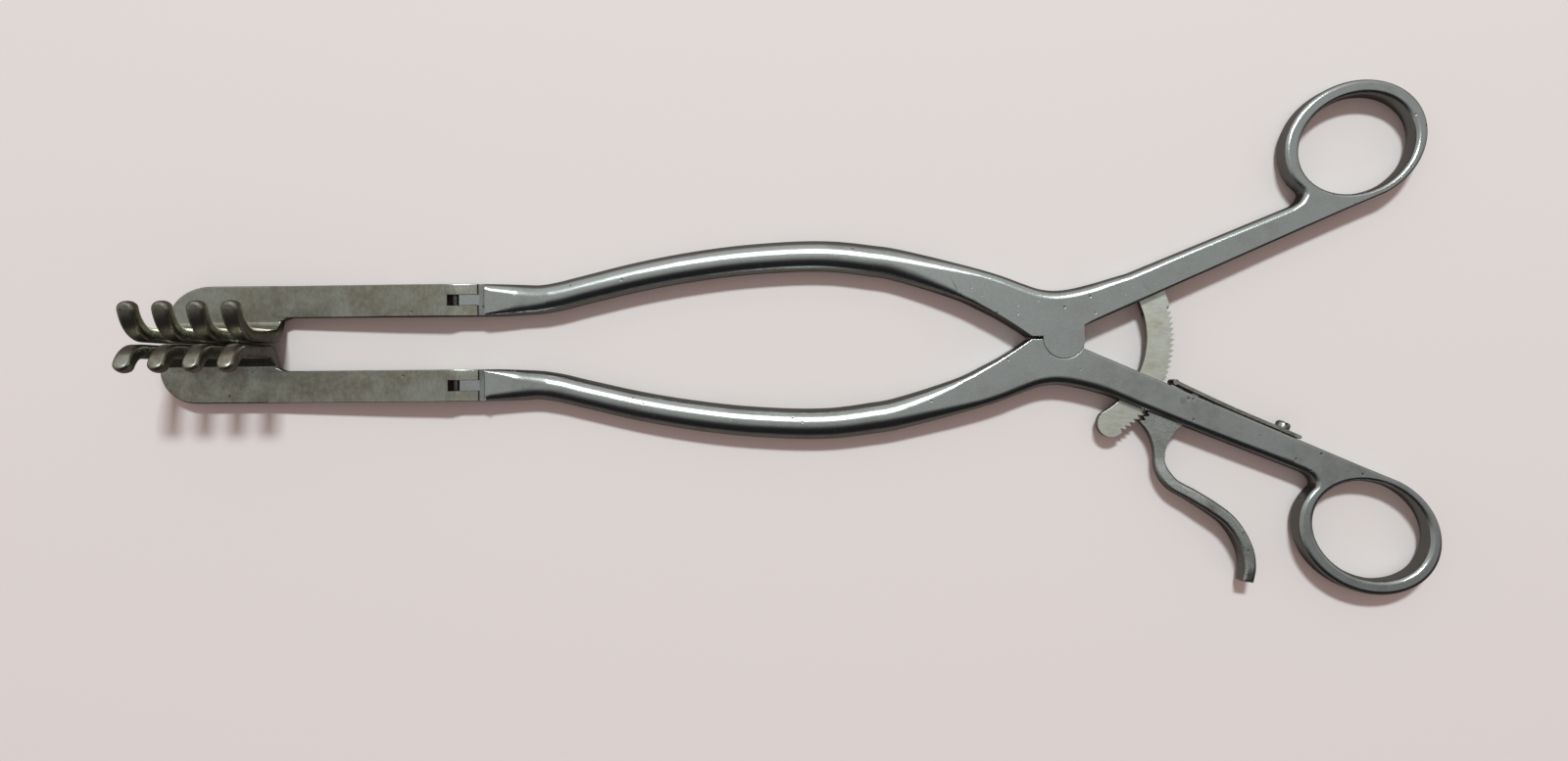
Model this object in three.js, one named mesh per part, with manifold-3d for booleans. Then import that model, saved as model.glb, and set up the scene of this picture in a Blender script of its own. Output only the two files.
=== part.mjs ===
// Self-retaining retractor with ring handles and hinged rake blades.
//
// Millimetres, +Z up. The origin is on the axis of the main joint, in the plane that the joint rests on.
// The blades point to -X, the finger rings to +X and the prongs up. The two arms mirror each other in the
// XZ plane: side +1 is the upper arm, side -1 the lower arm, which carries the release lever.

import * as THREE from 'three';
import { mergeVertices } from 'three/addons/utils/BufferGeometryUtils.js';
import Module from 'manifold-3d';

const wasm = await Module();
wasm.setup();

// Driving dimensions.

const UPPER = 1;
const LOWER = -1;

const JOINT_HEIGHT = 8;
const MID_Z = JOINT_HEIGHT / 2;
const EDGE_ROUND = 0.8;

const LOBE_RADIUS = 5.1;
const LOBE_REACH_X = 4.8;
const RECESS_RADIUS = 5.2;
const LAP_GAP = 0.1;
const STEP_Y = 0.3;
const STEP_X = -8;
const PIN_RADIUS = 2;
const RUNNING_FIT = 0.05;

const BOW_HEIGHT = 7.6;
const BOW_ROUND = 3.1;
const BOW_LINE = [
  [-133, 10.45], [-126, 10.7], [-118, 12.5], [-104, 15.8], [-90, 18.3], [-75, 20],
  [-57, 20.5], [-39.5, 18.3], [-25, 13.9], [-14, 9.3],
];
const BOW_WIDTH_HINGE = 6.8;
const BOW_WIDTH_MIDDLE = 7.4;
const BOW_WIDTH_JOINT = 9.4;

const HANDLE_ANGLE = THREE.MathUtils.degToRad(23.4);
const HANDLE_INNER = 0.57;
const HANDLE_START = 5.48;
const HANDLE_TAPER = { from: 18, to: 58, ratio: 0.78 };
const UPPER_HANDLE = { rootWidth: 7.9, endWidth: 6.8, extra: 0 };
const LOWER_HANDLE = { rootWidth: 8.6, endWidth: 7.4, extra: 2.9 };
const HANDLE_ROOT = 21.4;
const HANDLE_END = 64.5;

const RING_CENTRE = [84.8, 14.9];
const RING_OUTER = [18.1, 14.5];
const RING_HOLE_CENTRE = [84.8, 14.2];
const RING_HOLE = [14.7, 11.7];

const HINGE_X = -145.5;
const HINGE_Y = 10.45;
const HINGE_Z = 3.8;
const HINGE_PIN_RADIUS = 1;
const HINGE_WIDTH = 7.8;
const TONGUE_WIDTH = 2.5;
const TONGUE_RADIUS = 3;
const TONGUE_HALF_HEIGHT = 2.3;
const TONGUE_SIDE_GAP = 0.15;
const SHOULDER_X = -141.9;
const ARM_END_Z = [0.6, 7.2];
const ARM_END_X = -128;

const BLADE_FACE_Z = 7.2;
const BLADE_UNDER_Z = 1.2;
const EAR_TOP_Z = 6.1;
const EAR_UNDER_Z = 1.4;
const EAR_END_X = -142.1;
const EAR_SWING_RADIUS = 3.4;
const FORK_BOTTOM_X = -150.2;
const BAR_STEP_X = -150.7;
const BAR_END_X = -191.3;
const PADDLE_Z = [2, 4.5];
const PADDLE_OUTER_Y = 14.4;
const PADDLE_CORNER_Y = 8.4;
const UPPER_BLADE = {
  extra: 0, paddleEndX: -219.4, cornerX: 10.5, curlRadius: 10, curlTurn: THREE.MathUtils.degToRad(84.5),
};
const LOWER_BLADE = {
  extra: 1.2, paddleEndX: -221.6, cornerX: 9, curlRadius: 8.5, curlTurn: THREE.MathUtils.degToRad(73.5),
};

const COMB_SEAM_Y = 0.25;
const COMB_THICKNESS = 3.3;
const COMB_BEND_RADIUS = 5.3;
const COMB_REACH = 15;
const COMB_CREST_Z = 28.8;
const COMB_PRONGS = 4;
const COMB_PITCH = 7.85;
const COMB_FIRST_X = -193.4;
const COMB_PRONG_WIDTH = 4.2;
const COMB_GAP_BOTTOM_Z = 10;

const RACK_INNER = 20.9;
const RACK_TIP = 27.6;
const RACK_TOOTH_DEPTH = 1.1;
const RACK_PITCH = THREE.MathUtils.degToRad(2.85);
const RACK_FIRST_TOOTH = THREE.MathUtils.degToRad(13.6);
const RACK_TEETH = 26;
const RACK_HEIGHT = 2.6;
const RACK_ROOT_DEPTH = 3.4;
const RACK_SLOT_GAP = 0.2;
const RIVET_RADIUS = 0.75;
const RIVET_PLACES = [[22.7, 2.4], [26, 2.4]];

const SLOT_FROM = 16.4;
const SLOT_TO = 39.7;
const SLOT_HEIGHT = 3.2;

const LEVER_PIN = [28.7, -15.7];
const LEVER_PIN_RADIUS = 0.95;
const LEVER_HEAD_HEIGHT = 2.6;
const LEVER_HEIGHT = 6.2;
const PAWL_CLEARANCE = 0.15;
const PAWL_TEETH = 3;
const PAWL_FROM = THREE.MathUtils.degToRad(-47.5);
const LEVER_WIDTH = 3.1;
const LEVER_ROUND = 1.3;
const LEVER_LINE = [
  [24.1, -25], [23.8, -28.5], [24, -31.8], [26.6, -35.9], [31.5, -38.9], [36.2, -41.9],
  [40.2, -45], [42.9, -48.6], [44.8, -53], [45.2, -56.6], [44.6, -60],
];

const SPRING_FROM = 28.9;
const SPRING_TO = 62.8;
const SPRING_THICKNESS = 0.9;
const SPRING_HEIGHT = 5;
const SPRING_LIFT = 0.7;
const SPRING_GAP = 0.3;
const SCREW_PLACE = 58.7;
const SCREW_HEAD_RADIUS = 1.8;
const SCREW_HEAD_HEIGHT = 1.6;
const SCREW_RADIUS = 0.8;
const SCREW_DEPTH = 3.2;
const SCREW_GAP = 0.15;
const SCREW_SLOT = { width: 0.7, depth: 0.8 };

const PIN_STEPS = 24;
const LOBE_STEPS = 48;

// Finishes.

const satinSteel = new THREE.MeshStandardMaterial({ color: 0x7f8989, roughness: 0.38, metalness: 1 });
const bladeSteel = new THREE.MeshStandardMaterial({ color: 0x71726c, roughness: 0.42, metalness: 1 });
const rackSteel = new THREE.MeshStandardMaterial({ color: 0x9b9a8c, roughness: 0.45, metalness: 1 });
const pinSteel = new THREE.MeshStandardMaterial({ color: 0x868c8a, roughness: 0.35, metalness: 1 });
const springSteel = new THREE.MeshStandardMaterial({ color: 0x6d7272, roughness: 0.3, metalness: 1 });

// Solids: closed geometries go in, are joined and cut, and come back as geometry.

function toSolid(geometry) {
  const bare = geometry.clone();
  bare.deleteAttribute('normal');
  bare.deleteAttribute('uv');
  const merged = mergeVertices(bare, 1e-4);
  const corners = merged.index.array;
  const kept = [];
  for (let i = 0; i < corners.length; i += 3) {
    const [a, b, c] = [corners[i], corners[i + 1], corners[i + 2]];
    if (a !== b && b !== c && a !== c) kept.push(a, b, c);
  }
  return new wasm.Manifold(new wasm.Mesh({
    numProp: 3,
    vertProperties: merged.attributes.position.array,
    triVerts: Uint32Array.from(kept),
  }));
}

function toMesh(name, solid, material) {
  const { vertProperties, triVerts } = solid.getMesh();
  const geometry = new THREE.BufferGeometry();
  geometry.setAttribute('position', new THREE.BufferAttribute(vertProperties, 3));
  geometry.setIndex(new THREE.BufferAttribute(triVerts, 1));
  geometry.computeVertexNormals();
  const mesh = new THREE.Mesh(geometry, material);
  mesh.name = name;
  return mesh;
}

function joined(...solids) {
  return solids.reduce((whole, solid) => whole.add(solid));
}

function cut(solid, ...tools) {
  return tools.reduce((whole, tool) => whole.subtract(tool), solid);
}

// Plane shapes stand on z and are extruded upwards, with their edges rounded inwards.

// Every outline runs anticlockwise, so that a hole in it is recognised whichever arm it is on.
function outline(points) {
  const corners = points.map(([x, y]) => new THREE.Vector2(x, y));
  if (THREE.ShapeUtils.isClockWise(corners)) corners.reverse();
  return new THREE.Shape(corners);
}

function roundedPlate(shape, low, high, round, height = round, segments = 2) {
  return new THREE.ExtrudeGeometry(shape, {
    depth: high - low - 2 * height,
    bevelSize: round,
    bevelOffset: -round,
    bevelThickness: height,
    bevelSegments: segments,
    curveSegments: 12,
  }).translate(0, 0, low + height);
}

function plate(shape, low, high) {
  return new THREE.ExtrudeGeometry(shape, {
    depth: high - low, bevelEnabled: false, curveSegments: 12,
  }).translate(0, 0, low);
}

// A plate drawn in x and z, as seen from -Y, and extruded along Y between two faces.
function sidePlate(shape, nearY, farY) {
  return new THREE.ExtrudeGeometry(shape, {
    depth: farY - nearY, bevelEnabled: false, curveSegments: 12,
  }).rotateX(Math.PI / 2).translate(0, farY, 0);
}

function box(x0, x1, y0, y1, z0, z1) {
  return new THREE.BoxGeometry(x1 - x0, Math.abs(y1 - y0), z1 - z0)
    .translate((x0 + x1) / 2, (y0 + y1) / 2, (z0 + z1) / 2);
}

function uprightCylinder(radius, x, y, z0, z1, steps = PIN_STEPS) {
  return new THREE.CylinderGeometry(radius, radius, z1 - z0, steps)
    .rotateX(Math.PI / 2).translate(x, y, (z0 + z1) / 2);
}

function crossCylinder(radius, x, z, y0, y1) {
  return new THREE.CylinderGeometry(radius, radius, Math.abs(y1 - y0), PIN_STEPS)
    .translate(x, (y0 + y1) / 2, z);
}

// Points along a handle: s runs from the joint towards the ring, n from the inner edge outwards.
function handlePoint(side, s, n) {
  const x = s * Math.cos(HANDLE_ANGLE) - n * Math.sin(HANDLE_ANGLE);
  const y = s * Math.sin(HANDLE_ANGLE) + n * Math.cos(HANDLE_ANGLE);
  return [x, side * y];
}

function handleBox(side, s0, s1, n0, n1, z0, z1) {
  const corners = [[s0, n0], [s1, n0], [s1, n1], [s0, n1]];
  return plate(outline(corners.map(([s, n]) => handlePoint(side, s, n))), z0, z1);
}

function ellipsePoints(side, centre, axes, from, to, steps) {
  const points = [];
  for (let i = 0; i <= steps; i += 1) {
    const turn = from + ((to - from) * i) / steps;
    const s = centre[0] + axes[0] * Math.cos(turn);
    const n = centre[1] + axes[1] * Math.sin(turn);
    points.push(handlePoint(side, s, n));
  }
  return points;
}

function curveThrough(points) {
  return new THREE.CatmullRomCurve3(points.map(([x, y]) => new THREE.Vector3(x, y, 0)));
}

// A band of varying width along a curve.
function bandOutline(curve, widthAt, steps) {
  const left = [];
  const right = [];
  for (let i = 0; i <= steps; i += 1) {
    const t = i / steps;
    const at = curve.getPointAt(t);
    const along = curve.getTangentAt(t);
    const half = widthAt(t) / 2;
    left.push([at.x - along.y * half, at.y + along.x * half]);
    right.unshift([at.x + along.y * half, at.y - along.x * half]);
  }
  return outline([...left, ...right]);
}

// Arms.

function bowSolid(side) {
  const curve = curveThrough(BOW_LINE.map(([x, y]) => [x, side * y]));
  const widthAt = (t) => {
    const widening = THREE.MathUtils.smoothstep(t, 0.7, 1);
    const slim = THREE.MathUtils.lerp(BOW_WIDTH_HINGE, BOW_WIDTH_MIDDLE, Math.min(1, t * 2));
    return THREE.MathUtils.lerp(slim, BOW_WIDTH_JOINT, widening);
  };
  const low = MID_Z - BOW_HEIGHT / 2;
  const shape = bandOutline(curve, widthAt, 30);
  return toSolid(roundedPlate(shape, low, low + BOW_HEIGHT, BOW_ROUND, BOW_HEIGHT / 2 - 0.3, 3));
}

// The flat-faced forging from the bow's end through the joint and the handle to the finger ring.
function forgingShape(side, handle) {
  const inner = [[-34, 16], [-24.6, 9.6], [-19.8, 7.3], [-15, 4.7], [-10.1, 1.6], [STEP_X, STEP_Y]];
  const outer = [[11.7, 14.4], [6.8, 13], [2, 11.9], [-1.8, 11.5], [-5.5, 11.9],
    [-10, 13.4], [-15, 15.3], [-24, 18]];
  const { rootWidth, endWidth, extra } = handle;
  const mirrored = (points) => points.map(([x, y]) => [x, side * y]);
  const ringCentre = [RING_CENTRE[0] + extra, RING_CENTRE[1]];
  const ringEdge = ellipsePoints(side, ringCentre, RING_OUTER, -0.5 * Math.PI, 1.13 * Math.PI, 30);
  const shape = outline([
    ...mirrored(inner),
    [LOBE_REACH_X, side * STEP_Y],
    handlePoint(side, HANDLE_START, HANDLE_INNER),
    handlePoint(side, RING_CENTRE[0] + extra - 9, HANDLE_INNER),
    ...ringEdge,
    handlePoint(side, HANDLE_END + extra + 2.9, endWidth + 1.4),
    handlePoint(side, HANDLE_END + extra + 2, endWidth + 0.5),
    handlePoint(side, HANDLE_END + extra, endWidth),
    handlePoint(side, HANDLE_ROOT, rootWidth),
    ...mirrored(outer),
  ]);
  const holeCentre = [RING_HOLE_CENTRE[0] + extra, RING_HOLE_CENTRE[1]];
  const hole = ellipsePoints(side, holeCentre, RING_HOLE, 0, 2 * Math.PI, 36).slice(0, -1);
  shape.holes.push(new THREE.Path(hole.map(([x, y]) => new THREE.Vector2(x, y))));
  return shape;
}

// The handle thins from the joint's height to the ring's.
function thinned(geometry) {
  const places = geometry.attributes.position;
  for (let i = 0; i < places.count; i += 1) {
    const t = THREE.MathUtils.inverseLerp(HANDLE_TAPER.from, HANDLE_TAPER.to, places.getX(i));
    const ratio = THREE.MathUtils.lerp(1, HANDLE_TAPER.ratio, THREE.MathUtils.clamp(t, 0, 1));
    places.setZ(i, MID_Z + (places.getZ(i) - MID_Z) * ratio);
  }
  return geometry;
}

function armEndSolid(side) {
  const [low, high] = ARM_END_Z;
  const centre = side * HINGE_Y;
  const profile = outline([
    [SHOULDER_X, low], [ARM_END_X, low], [ARM_END_X, high], [SHOULDER_X + 0.9, high],
    [SHOULDER_X, EAR_TOP_Z],
  ]);
  const tongue = new THREE.Shape();
  const turn = Math.asin(TONGUE_HALF_HEIGHT / TONGUE_RADIUS);
  tongue.absarc(HINGE_X, HINGE_Z, TONGUE_RADIUS, Math.PI - turn, Math.PI + turn);
  tongue.lineTo(SHOULDER_X + 1, HINGE_Z - TONGUE_HALF_HEIGHT);
  tongue.lineTo(SHOULDER_X + 1, HINGE_Z + TONGUE_HALF_HEIGHT);
  return joined(
    toSolid(sidePlate(profile, centre - HINGE_WIDTH / 2, centre + HINGE_WIDTH / 2)),
    toSolid(sidePlate(tongue, centre - TONGUE_WIDTH / 2, centre + TONGUE_WIDTH / 2)),
  );
}

function armSolid(side, handle) {
  const lobeLow = side === UPPER ? MID_Z + LAP_GAP / 2 : 0;
  const lobeHigh = lobeLow + MID_Z - LAP_GAP / 2;
  const recessLow = side === UPPER ? -1 : MID_Z - LAP_GAP / 2;
  const recessHigh = recessLow + MID_Z + LAP_GAP / 2 + 1;
  const hingeHole = crossCylinder(HINGE_PIN_RADIUS + RUNNING_FIT, HINGE_X, HINGE_Z,
    side * (HINGE_Y - HINGE_WIDTH), side * (HINGE_Y + HINGE_WIDTH));
  const lobeSide = box(0, LOBE_REACH_X, side * -1.6, side * 3, lobeLow, lobeHigh);
  const forging = toSolid(thinned(roundedPlate(forgingShape(side, handle), 0, JOINT_HEIGHT, EDGE_ROUND)));
  const recess = uprightCylinder(RECESS_RADIUS, 0, 0, recessLow, recessHigh, LOBE_STEPS);
  const lobe = uprightCylinder(LOBE_RADIUS, 0, 0, lobeLow, lobeHigh, LOBE_STEPS);
  const whole = joined(
    cut(forging, toSolid(recess)), bowSolid(side), armEndSolid(side), toSolid(lobeSide), toSolid(lobe),
  );
  return cut(whole,
    toSolid(uprightCylinder(PIN_RADIUS + RUNNING_FIT, 0, 0, -1, JOINT_HEIGHT + 1)), toSolid(hingeHole));
}

function upperArm() {
  const half = RACK_HEIGHT / 2 + RACK_SLOT_GAP;
  const slot = handleBox(UPPER, RACK_INNER - 0.5, RACK_TIP + 0.6, -1, RACK_ROOT_DEPTH + 0.9,
    MID_Z - half, MID_Z + half);
  const holes = RIVET_PLACES.map(([s, n]) => toSolid(
    uprightCylinder(RIVET_RADIUS + RUNNING_FIT, ...handlePoint(UPPER, s, n), -1, JOINT_HEIGHT + 1)));
  return toMesh('upper_arm', cut(armSolid(UPPER, UPPER_HANDLE), toSolid(slot), ...holes), satinSteel);
}

function lowerArm() {
  const half = SLOT_HEIGHT / 2;
  const slot = handleBox(LOWER, SLOT_FROM, SLOT_TO, -2, 12, MID_Z - half, MID_Z + half);
  const pinHole = uprightCylinder(LEVER_PIN_RADIUS + RUNNING_FIT, ...LEVER_PIN, -1, JOINT_HEIGHT + 1);
  const solid = cut(armSolid(LOWER, LOWER_HANDLE),
    toSolid(slot), toSolid(pinHole), toSolid(screwShank(SCREW_RADIUS + SCREW_GAP, SCREW_GAP)));
  return toMesh('lower_arm', solid, satinSteel);
}

function jointPin() {
  return toMesh('joint_pin', toSolid(uprightCylinder(PIN_RADIUS, 0, 0, 0, JOINT_HEIGHT)), pinSteel);
}

// Ratchet rack: an arc plate about the joint's axis, with saw teeth outside and its root in the handle.

function polar(radius, angle) {
  return [radius * Math.cos(angle), radius * Math.sin(angle)];
}

function ratchetRack() {
  const tipRadius = (RACK_TIP - RACK_INNER) / 2;
  const tipAngle = RACK_FIRST_TOOTH - RACK_PITCH * RACK_TEETH;
  const points = [
    handlePoint(UPPER, RACK_INNER + 0.3, RACK_ROOT_DEPTH),
    handlePoint(UPPER, RACK_TIP - 0.2, RACK_ROOT_DEPTH),
    handlePoint(UPPER, RACK_TIP + 0.1, HANDLE_INNER - 0.5),
    polar(RACK_TIP, RACK_FIRST_TOOTH + RACK_PITCH * 1.2),
  ];
  for (let i = 0; i < RACK_TEETH; i += 1) {
    const angle = RACK_FIRST_TOOTH - RACK_PITCH * i;
    points.push(polar(RACK_TIP - RACK_TOOTH_DEPTH, angle));
    points.push(polar(RACK_TIP, angle - 0.2 * RACK_PITCH));
  }
  const capCentre = polar(RACK_INNER + tipRadius, tipAngle);
  for (let i = 0; i <= 8; i += 1) {
    const turn = tipAngle - (Math.PI * i) / 8;
    points.push([capCentre[0] + tipRadius * Math.cos(turn), capCentre[1] + tipRadius * Math.sin(turn)]);
  }
  const innerSteps = 24;
  const innerEnd = HANDLE_ANGLE - 0.03;
  for (let i = 1; i <= innerSteps; i += 1) {
    points.push(polar(RACK_INNER, THREE.MathUtils.lerp(tipAngle, innerEnd, i / innerSteps)));
  }
  const low = MID_Z - RACK_HEIGHT / 2;
  const holes = RIVET_PLACES.map(([s, n]) => toSolid(
    uprightCylinder(RIVET_RADIUS + RUNNING_FIT, ...handlePoint(UPPER, s, n), -1, JOINT_HEIGHT + 1)));
  const blank = toSolid(plate(outline(points), low, low + RACK_HEIGHT));
  return toMesh('ratchet_rack', cut(blank, ...holes), rackSteel);
}

function rackRivets() {
  return RIVET_PLACES.map(([s, n], index) => {
    const rivet = uprightCylinder(RIVET_RADIUS, ...handlePoint(UPPER, s, n), 0.2, JOINT_HEIGHT - 0.2);
    return toMesh(`rack_rivet_${index + 1}`, toSolid(rivet), pinSteel);
  });
}

// Release lever: pawl head in the handle's slot, neck and finger trigger.

function leverHeadShape() {
  const points = [];
  const pawlRadius = RACK_TIP + PAWL_CLEARANCE;
  for (let i = 0; i < PAWL_TEETH; i += 1) {
    const angle = PAWL_FROM + RACK_PITCH * i;
    points.push(polar(pawlRadius, angle), polar(pawlRadius + RACK_TOOTH_DEPTH, angle + 0.9 * RACK_PITCH));
  }
  points.push(
    polar(pawlRadius + 0.4, PAWL_FROM + RACK_PITCH * PAWL_TEETH),
    polar(pawlRadius + 0.4, -0.55),
    handlePoint(LOWER, 29.6, 1.1),
    handlePoint(LOWER, 33.5, 0.9),
    handlePoint(LOWER, 35, 0),
    handlePoint(LOWER, 36.4, 0.1),
    handlePoint(LOWER, 37, 3.4),
    handlePoint(LOWER, 35.7, 8),
    [27.9, -22.8], [26.7, -24.5], [25.4, -26.6], [25, -28.5], [25, -30],
    [22.5, -30], [22.4, -28], [21.9, -25.6], [21.2, -23.6], [20.2, -22.1],
  );
  return outline(points);
}

function releaseLever() {
  const half = LEVER_HEAD_HEIGHT / 2;
  const head = toSolid(plate(leverHeadShape(), MID_Z - half, MID_Z + half));
  const band = bandOutline(curveThrough(LEVER_LINE), () => LEVER_WIDTH, 24);
  const low = MID_Z - LEVER_HEIGHT / 2;
  const trigger = toSolid(roundedPlate(band, low, low + LEVER_HEIGHT, LEVER_ROUND));
  const hole = uprightCylinder(LEVER_PIN_RADIUS + RUNNING_FIT, ...LEVER_PIN, -1, JOINT_HEIGHT + 1);
  return toMesh('release_lever', cut(joined(head, trigger), toSolid(hole)), satinSteel);
}

function leverPin() {
  const pin = uprightCylinder(LEVER_PIN_RADIUS, ...LEVER_PIN, 0.3, JOINT_HEIGHT - 0.3);
  return toMesh('lever_pin', toSolid(pin), pinSteel);
}

// Leaf spring and its screw, on the inner edge of the lower handle.

// A cylinder whose axis crosses the handle's inner edge; n is measured outwards from that edge.
function edgeCylinder(radius, nFrom, nTo) {
  const [x, y] = handlePoint(LOWER, SCREW_PLACE, (nFrom + nTo) / 2);
  return new THREE.CylinderGeometry(radius, radius, Math.abs(nTo - nFrom), PIN_STEPS)
    .rotateZ(-HANDLE_ANGLE).translate(x, y, MID_Z);
}

function screwShank(radius, extraDepth) {
  return edgeCylinder(radius, -SPRING_GAP - SPRING_THICKNESS - 1, HANDLE_INNER + SCREW_DEPTH + extraDepth);
}

function leafSpring() {
  const under = HANDLE_INNER - SPRING_GAP;
  const bend = 45;
  const line = [
    [SPRING_FROM, under - SPRING_LIFT], [36, under - SPRING_LIFT * 0.6], [bend, under],
    [SPRING_TO, under],
  ];
  const top = line.map(([s, n]) => [s, n - SPRING_THICKNESS]).reverse();
  const shape = outline([...line, ...top].map(([s, n]) => handlePoint(LOWER, s, n)));
  const half = SPRING_HEIGHT / 2;
  const strip = toSolid(plate(shape, MID_Z - half, MID_Z + half));
  const hole = edgeCylinder(SCREW_RADIUS + SCREW_GAP, -4, 4);
  return toMesh('leaf_spring', cut(strip, toSolid(hole)), springSteel);
}

function springScrew() {
  const seat = HANDLE_INNER - SPRING_GAP - SPRING_THICKNESS - SCREW_GAP;
  const head = edgeCylinder(SCREW_HEAD_RADIUS, seat, seat - SCREW_HEAD_HEIGHT);
  const shank = edgeCylinder(SCREW_RADIUS, seat - 0.4, HANDLE_INNER + SCREW_DEPTH);
  const [s0, s1] = [SCREW_PLACE - SCREW_SLOT.width / 2, SCREW_PLACE + SCREW_SLOT.width / 2];
  const top = seat - SCREW_HEAD_HEIGHT;
  const slot = handleBox(LOWER, s0, s1, top - 1, top + SCREW_SLOT.depth, 0, JOINT_HEIGHT);
  return toMesh('spring_screw', cut(joined(toSolid(head), toSolid(shank)), toSolid(slot)), pinSteel);
}

// Blades: fork and bar from a side profile, paddle from its plan, comb from its end profile.

function barSolid(side, extra) {
  const centre = side * HINGE_Y;
  const swingTop = Math.asin((EAR_TOP_Z - HINGE_Z) / EAR_SWING_RADIUS);
  const shape = new THREE.Shape();
  shape.moveTo(BAR_END_X - extra - 3, PADDLE_Z[0]);
  shape.lineTo(BAR_STEP_X - 6, BLADE_UNDER_Z);
  shape.lineTo(EAR_END_X, EAR_UNDER_Z);
  shape.lineTo(EAR_END_X, HINGE_Z);
  shape.absarc(HINGE_X, HINGE_Z, EAR_SWING_RADIUS, 0, swingTop);
  shape.lineTo(BAR_STEP_X + 2.4, EAR_TOP_Z);
  shape.lineTo(BAR_STEP_X, BLADE_FACE_Z);
  shape.lineTo(BAR_END_X - extra + 1, PADDLE_Z[1] + 0.5);
  shape.lineTo(BAR_END_X - extra - 3, PADDLE_Z[1]);
  const blank = toSolid(sidePlate(shape, centre - HINGE_WIDTH / 2, centre + HINGE_WIDTH / 2));
  const gap = TONGUE_WIDTH / 2 + TONGUE_SIDE_GAP;
  const fork = box(FORK_BOTTOM_X, EAR_END_X + 1, centre - gap, centre + gap, -1, JOINT_HEIGHT + 1);
  const hole = crossCylinder(HINGE_PIN_RADIUS + RUNNING_FIT, HINGE_X, HINGE_Z,
    side * (HINGE_Y - HINGE_WIDTH), side * (HINGE_Y + HINGE_WIDTH));
  return cut(blank, toSolid(fork), toSolid(hole));
}

function paddleSolid(side, { extra, paddleEndX, cornerX }) {
  const shape = new THREE.Shape();
  const right = BAR_END_X - extra;
  const inner = COMB_SEAM_Y + COMB_BEND_RADIUS;
  shape.moveTo(paddleEndX, side * inner);
  shape.lineTo(paddleEndX, side * (PADDLE_OUTER_Y - PADDLE_CORNER_Y));
  for (let i = 1; i <= 8; i += 1) {
    const turn = (0.5 * Math.PI * i) / 8;
    const x = paddleEndX + cornerX * (1 - Math.cos(turn));
    const y = PADDLE_OUTER_Y - PADDLE_CORNER_Y * (1 - Math.sin(turn));
    shape.lineTo(x, side * y);
  }
  shape.lineTo(right + 2, side * PADDLE_OUTER_Y);
  shape.lineTo(right + 2, side * (HINGE_Y - HINGE_WIDTH / 2));
  shape.lineTo(right, side * inner);
  return toSolid(plate(shape, ...PADDLE_Z));
}

// The comb's section, seen along X: paddle edge, bend, wall and outward curl, a band that is thicker than
// the paddle from the bend on.
function combProfile({ curlRadius, curlTurn }) {
  const steps = 8;
  const outside = [];
  const inside = [];
  const along = (points, centreY, centreZ, radius, from, to) => {
    for (let i = 0; i <= steps; i += 1) {
      const turn = THREE.MathUtils.lerp(from, to, i / steps);
      points.push([centreY + radius * Math.cos(turn), centreZ + radius * Math.sin(turn)]);
    }
  };
  const bendY = COMB_SEAM_Y + COMB_BEND_RADIUS;
  const bendZ = PADDLE_Z[0] + COMB_BEND_RADIUS;
  const curlY = COMB_SEAM_Y + curlRadius;
  const curlZ = COMB_CREST_Z - curlRadius * Math.sin(curlTurn);
  outside.push([bendY + 1, PADDLE_Z[0]]);
  along(outside, bendY, bendZ, COMB_BEND_RADIUS, 1.5 * Math.PI, Math.PI);
  along(outside, curlY, curlZ, curlRadius, Math.PI, Math.PI - curlTurn);
  inside.push([bendY + 1, PADDLE_Z[1]]);
  along(inside, bendY, bendZ, COMB_BEND_RADIUS - COMB_THICKNESS, 1.5 * Math.PI, Math.PI);
  along(inside, curlY, curlZ, curlRadius - COMB_THICKNESS, Math.PI, Math.PI - curlTurn);
  return [...outside, ...inside.reverse()];
}

function combSolid(side, spec) {
  const { extra } = spec;
  const shape = outline(combProfile(spec).map(([y, z]) => [side * y, z]));
  const right = BAR_END_X - extra;
  const last = COMB_FIRST_X - extra - COMB_PITCH * (COMB_PRONGS - 1) - COMB_PRONG_WIDTH / 2;
  const wall = new THREE.ExtrudeGeometry(shape, { depth: right - last, bevelEnabled: false })
    .rotateX(Math.PI / 2).rotateZ(Math.PI / 2).translate(last, 0, 0);
  const gaps = [];
  for (let i = 0; i < COMB_PRONGS; i += 1) {
    const gapLeft = COMB_FIRST_X - extra - COMB_PITCH * i + COMB_PRONG_WIDTH / 2;
    const gapRight = gapLeft + COMB_PITCH - COMB_PRONG_WIDTH;
    const radius = (gapRight - gapLeft) / 2;
    const gap = new THREE.Shape();
    gap.absarc((gapLeft + gapRight) / 2, COMB_GAP_BOTTOM_Z + radius, radius, Math.PI, 2 * Math.PI);
    gap.lineTo(gapRight, COMB_CREST_Z + 1);
    gap.lineTo(gapLeft, COMB_CREST_Z + 1);
    gaps.push(toSolid(sidePlate(gap, -COMB_REACH, COMB_REACH)));
  }
  return cut(toSolid(wall), ...gaps);
}

function blade(name, side, spec) {
  const solid = joined(barSolid(side, spec.extra), paddleSolid(side, spec), combSolid(side, spec));
  return toMesh(name, solid, bladeSteel);
}

function hingePin(name, side) {
  const half = HINGE_WIDTH / 2;
  const pin = crossCylinder(HINGE_PIN_RADIUS, HINGE_X, HINGE_Z,
    side * HINGE_Y - half, side * HINGE_Y + half);
  return toMesh(name, toSolid(pin), pinSteel);
}

const group = new THREE.Group();
group.add(
  upperArm(),
  lowerArm(),
  jointPin(),
  ratchetRack(),
  ...rackRivets(),
  releaseLever(),
  leverPin(),
  leafSpring(),
  springScrew(),
  blade('upper_blade', UPPER, UPPER_BLADE),
  blade('lower_blade', LOWER, LOWER_BLADE),
  hingePin('upper_hinge_pin', UPPER),
  hingePin('lower_hinge_pin', LOWER),
);

export default group;
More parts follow.
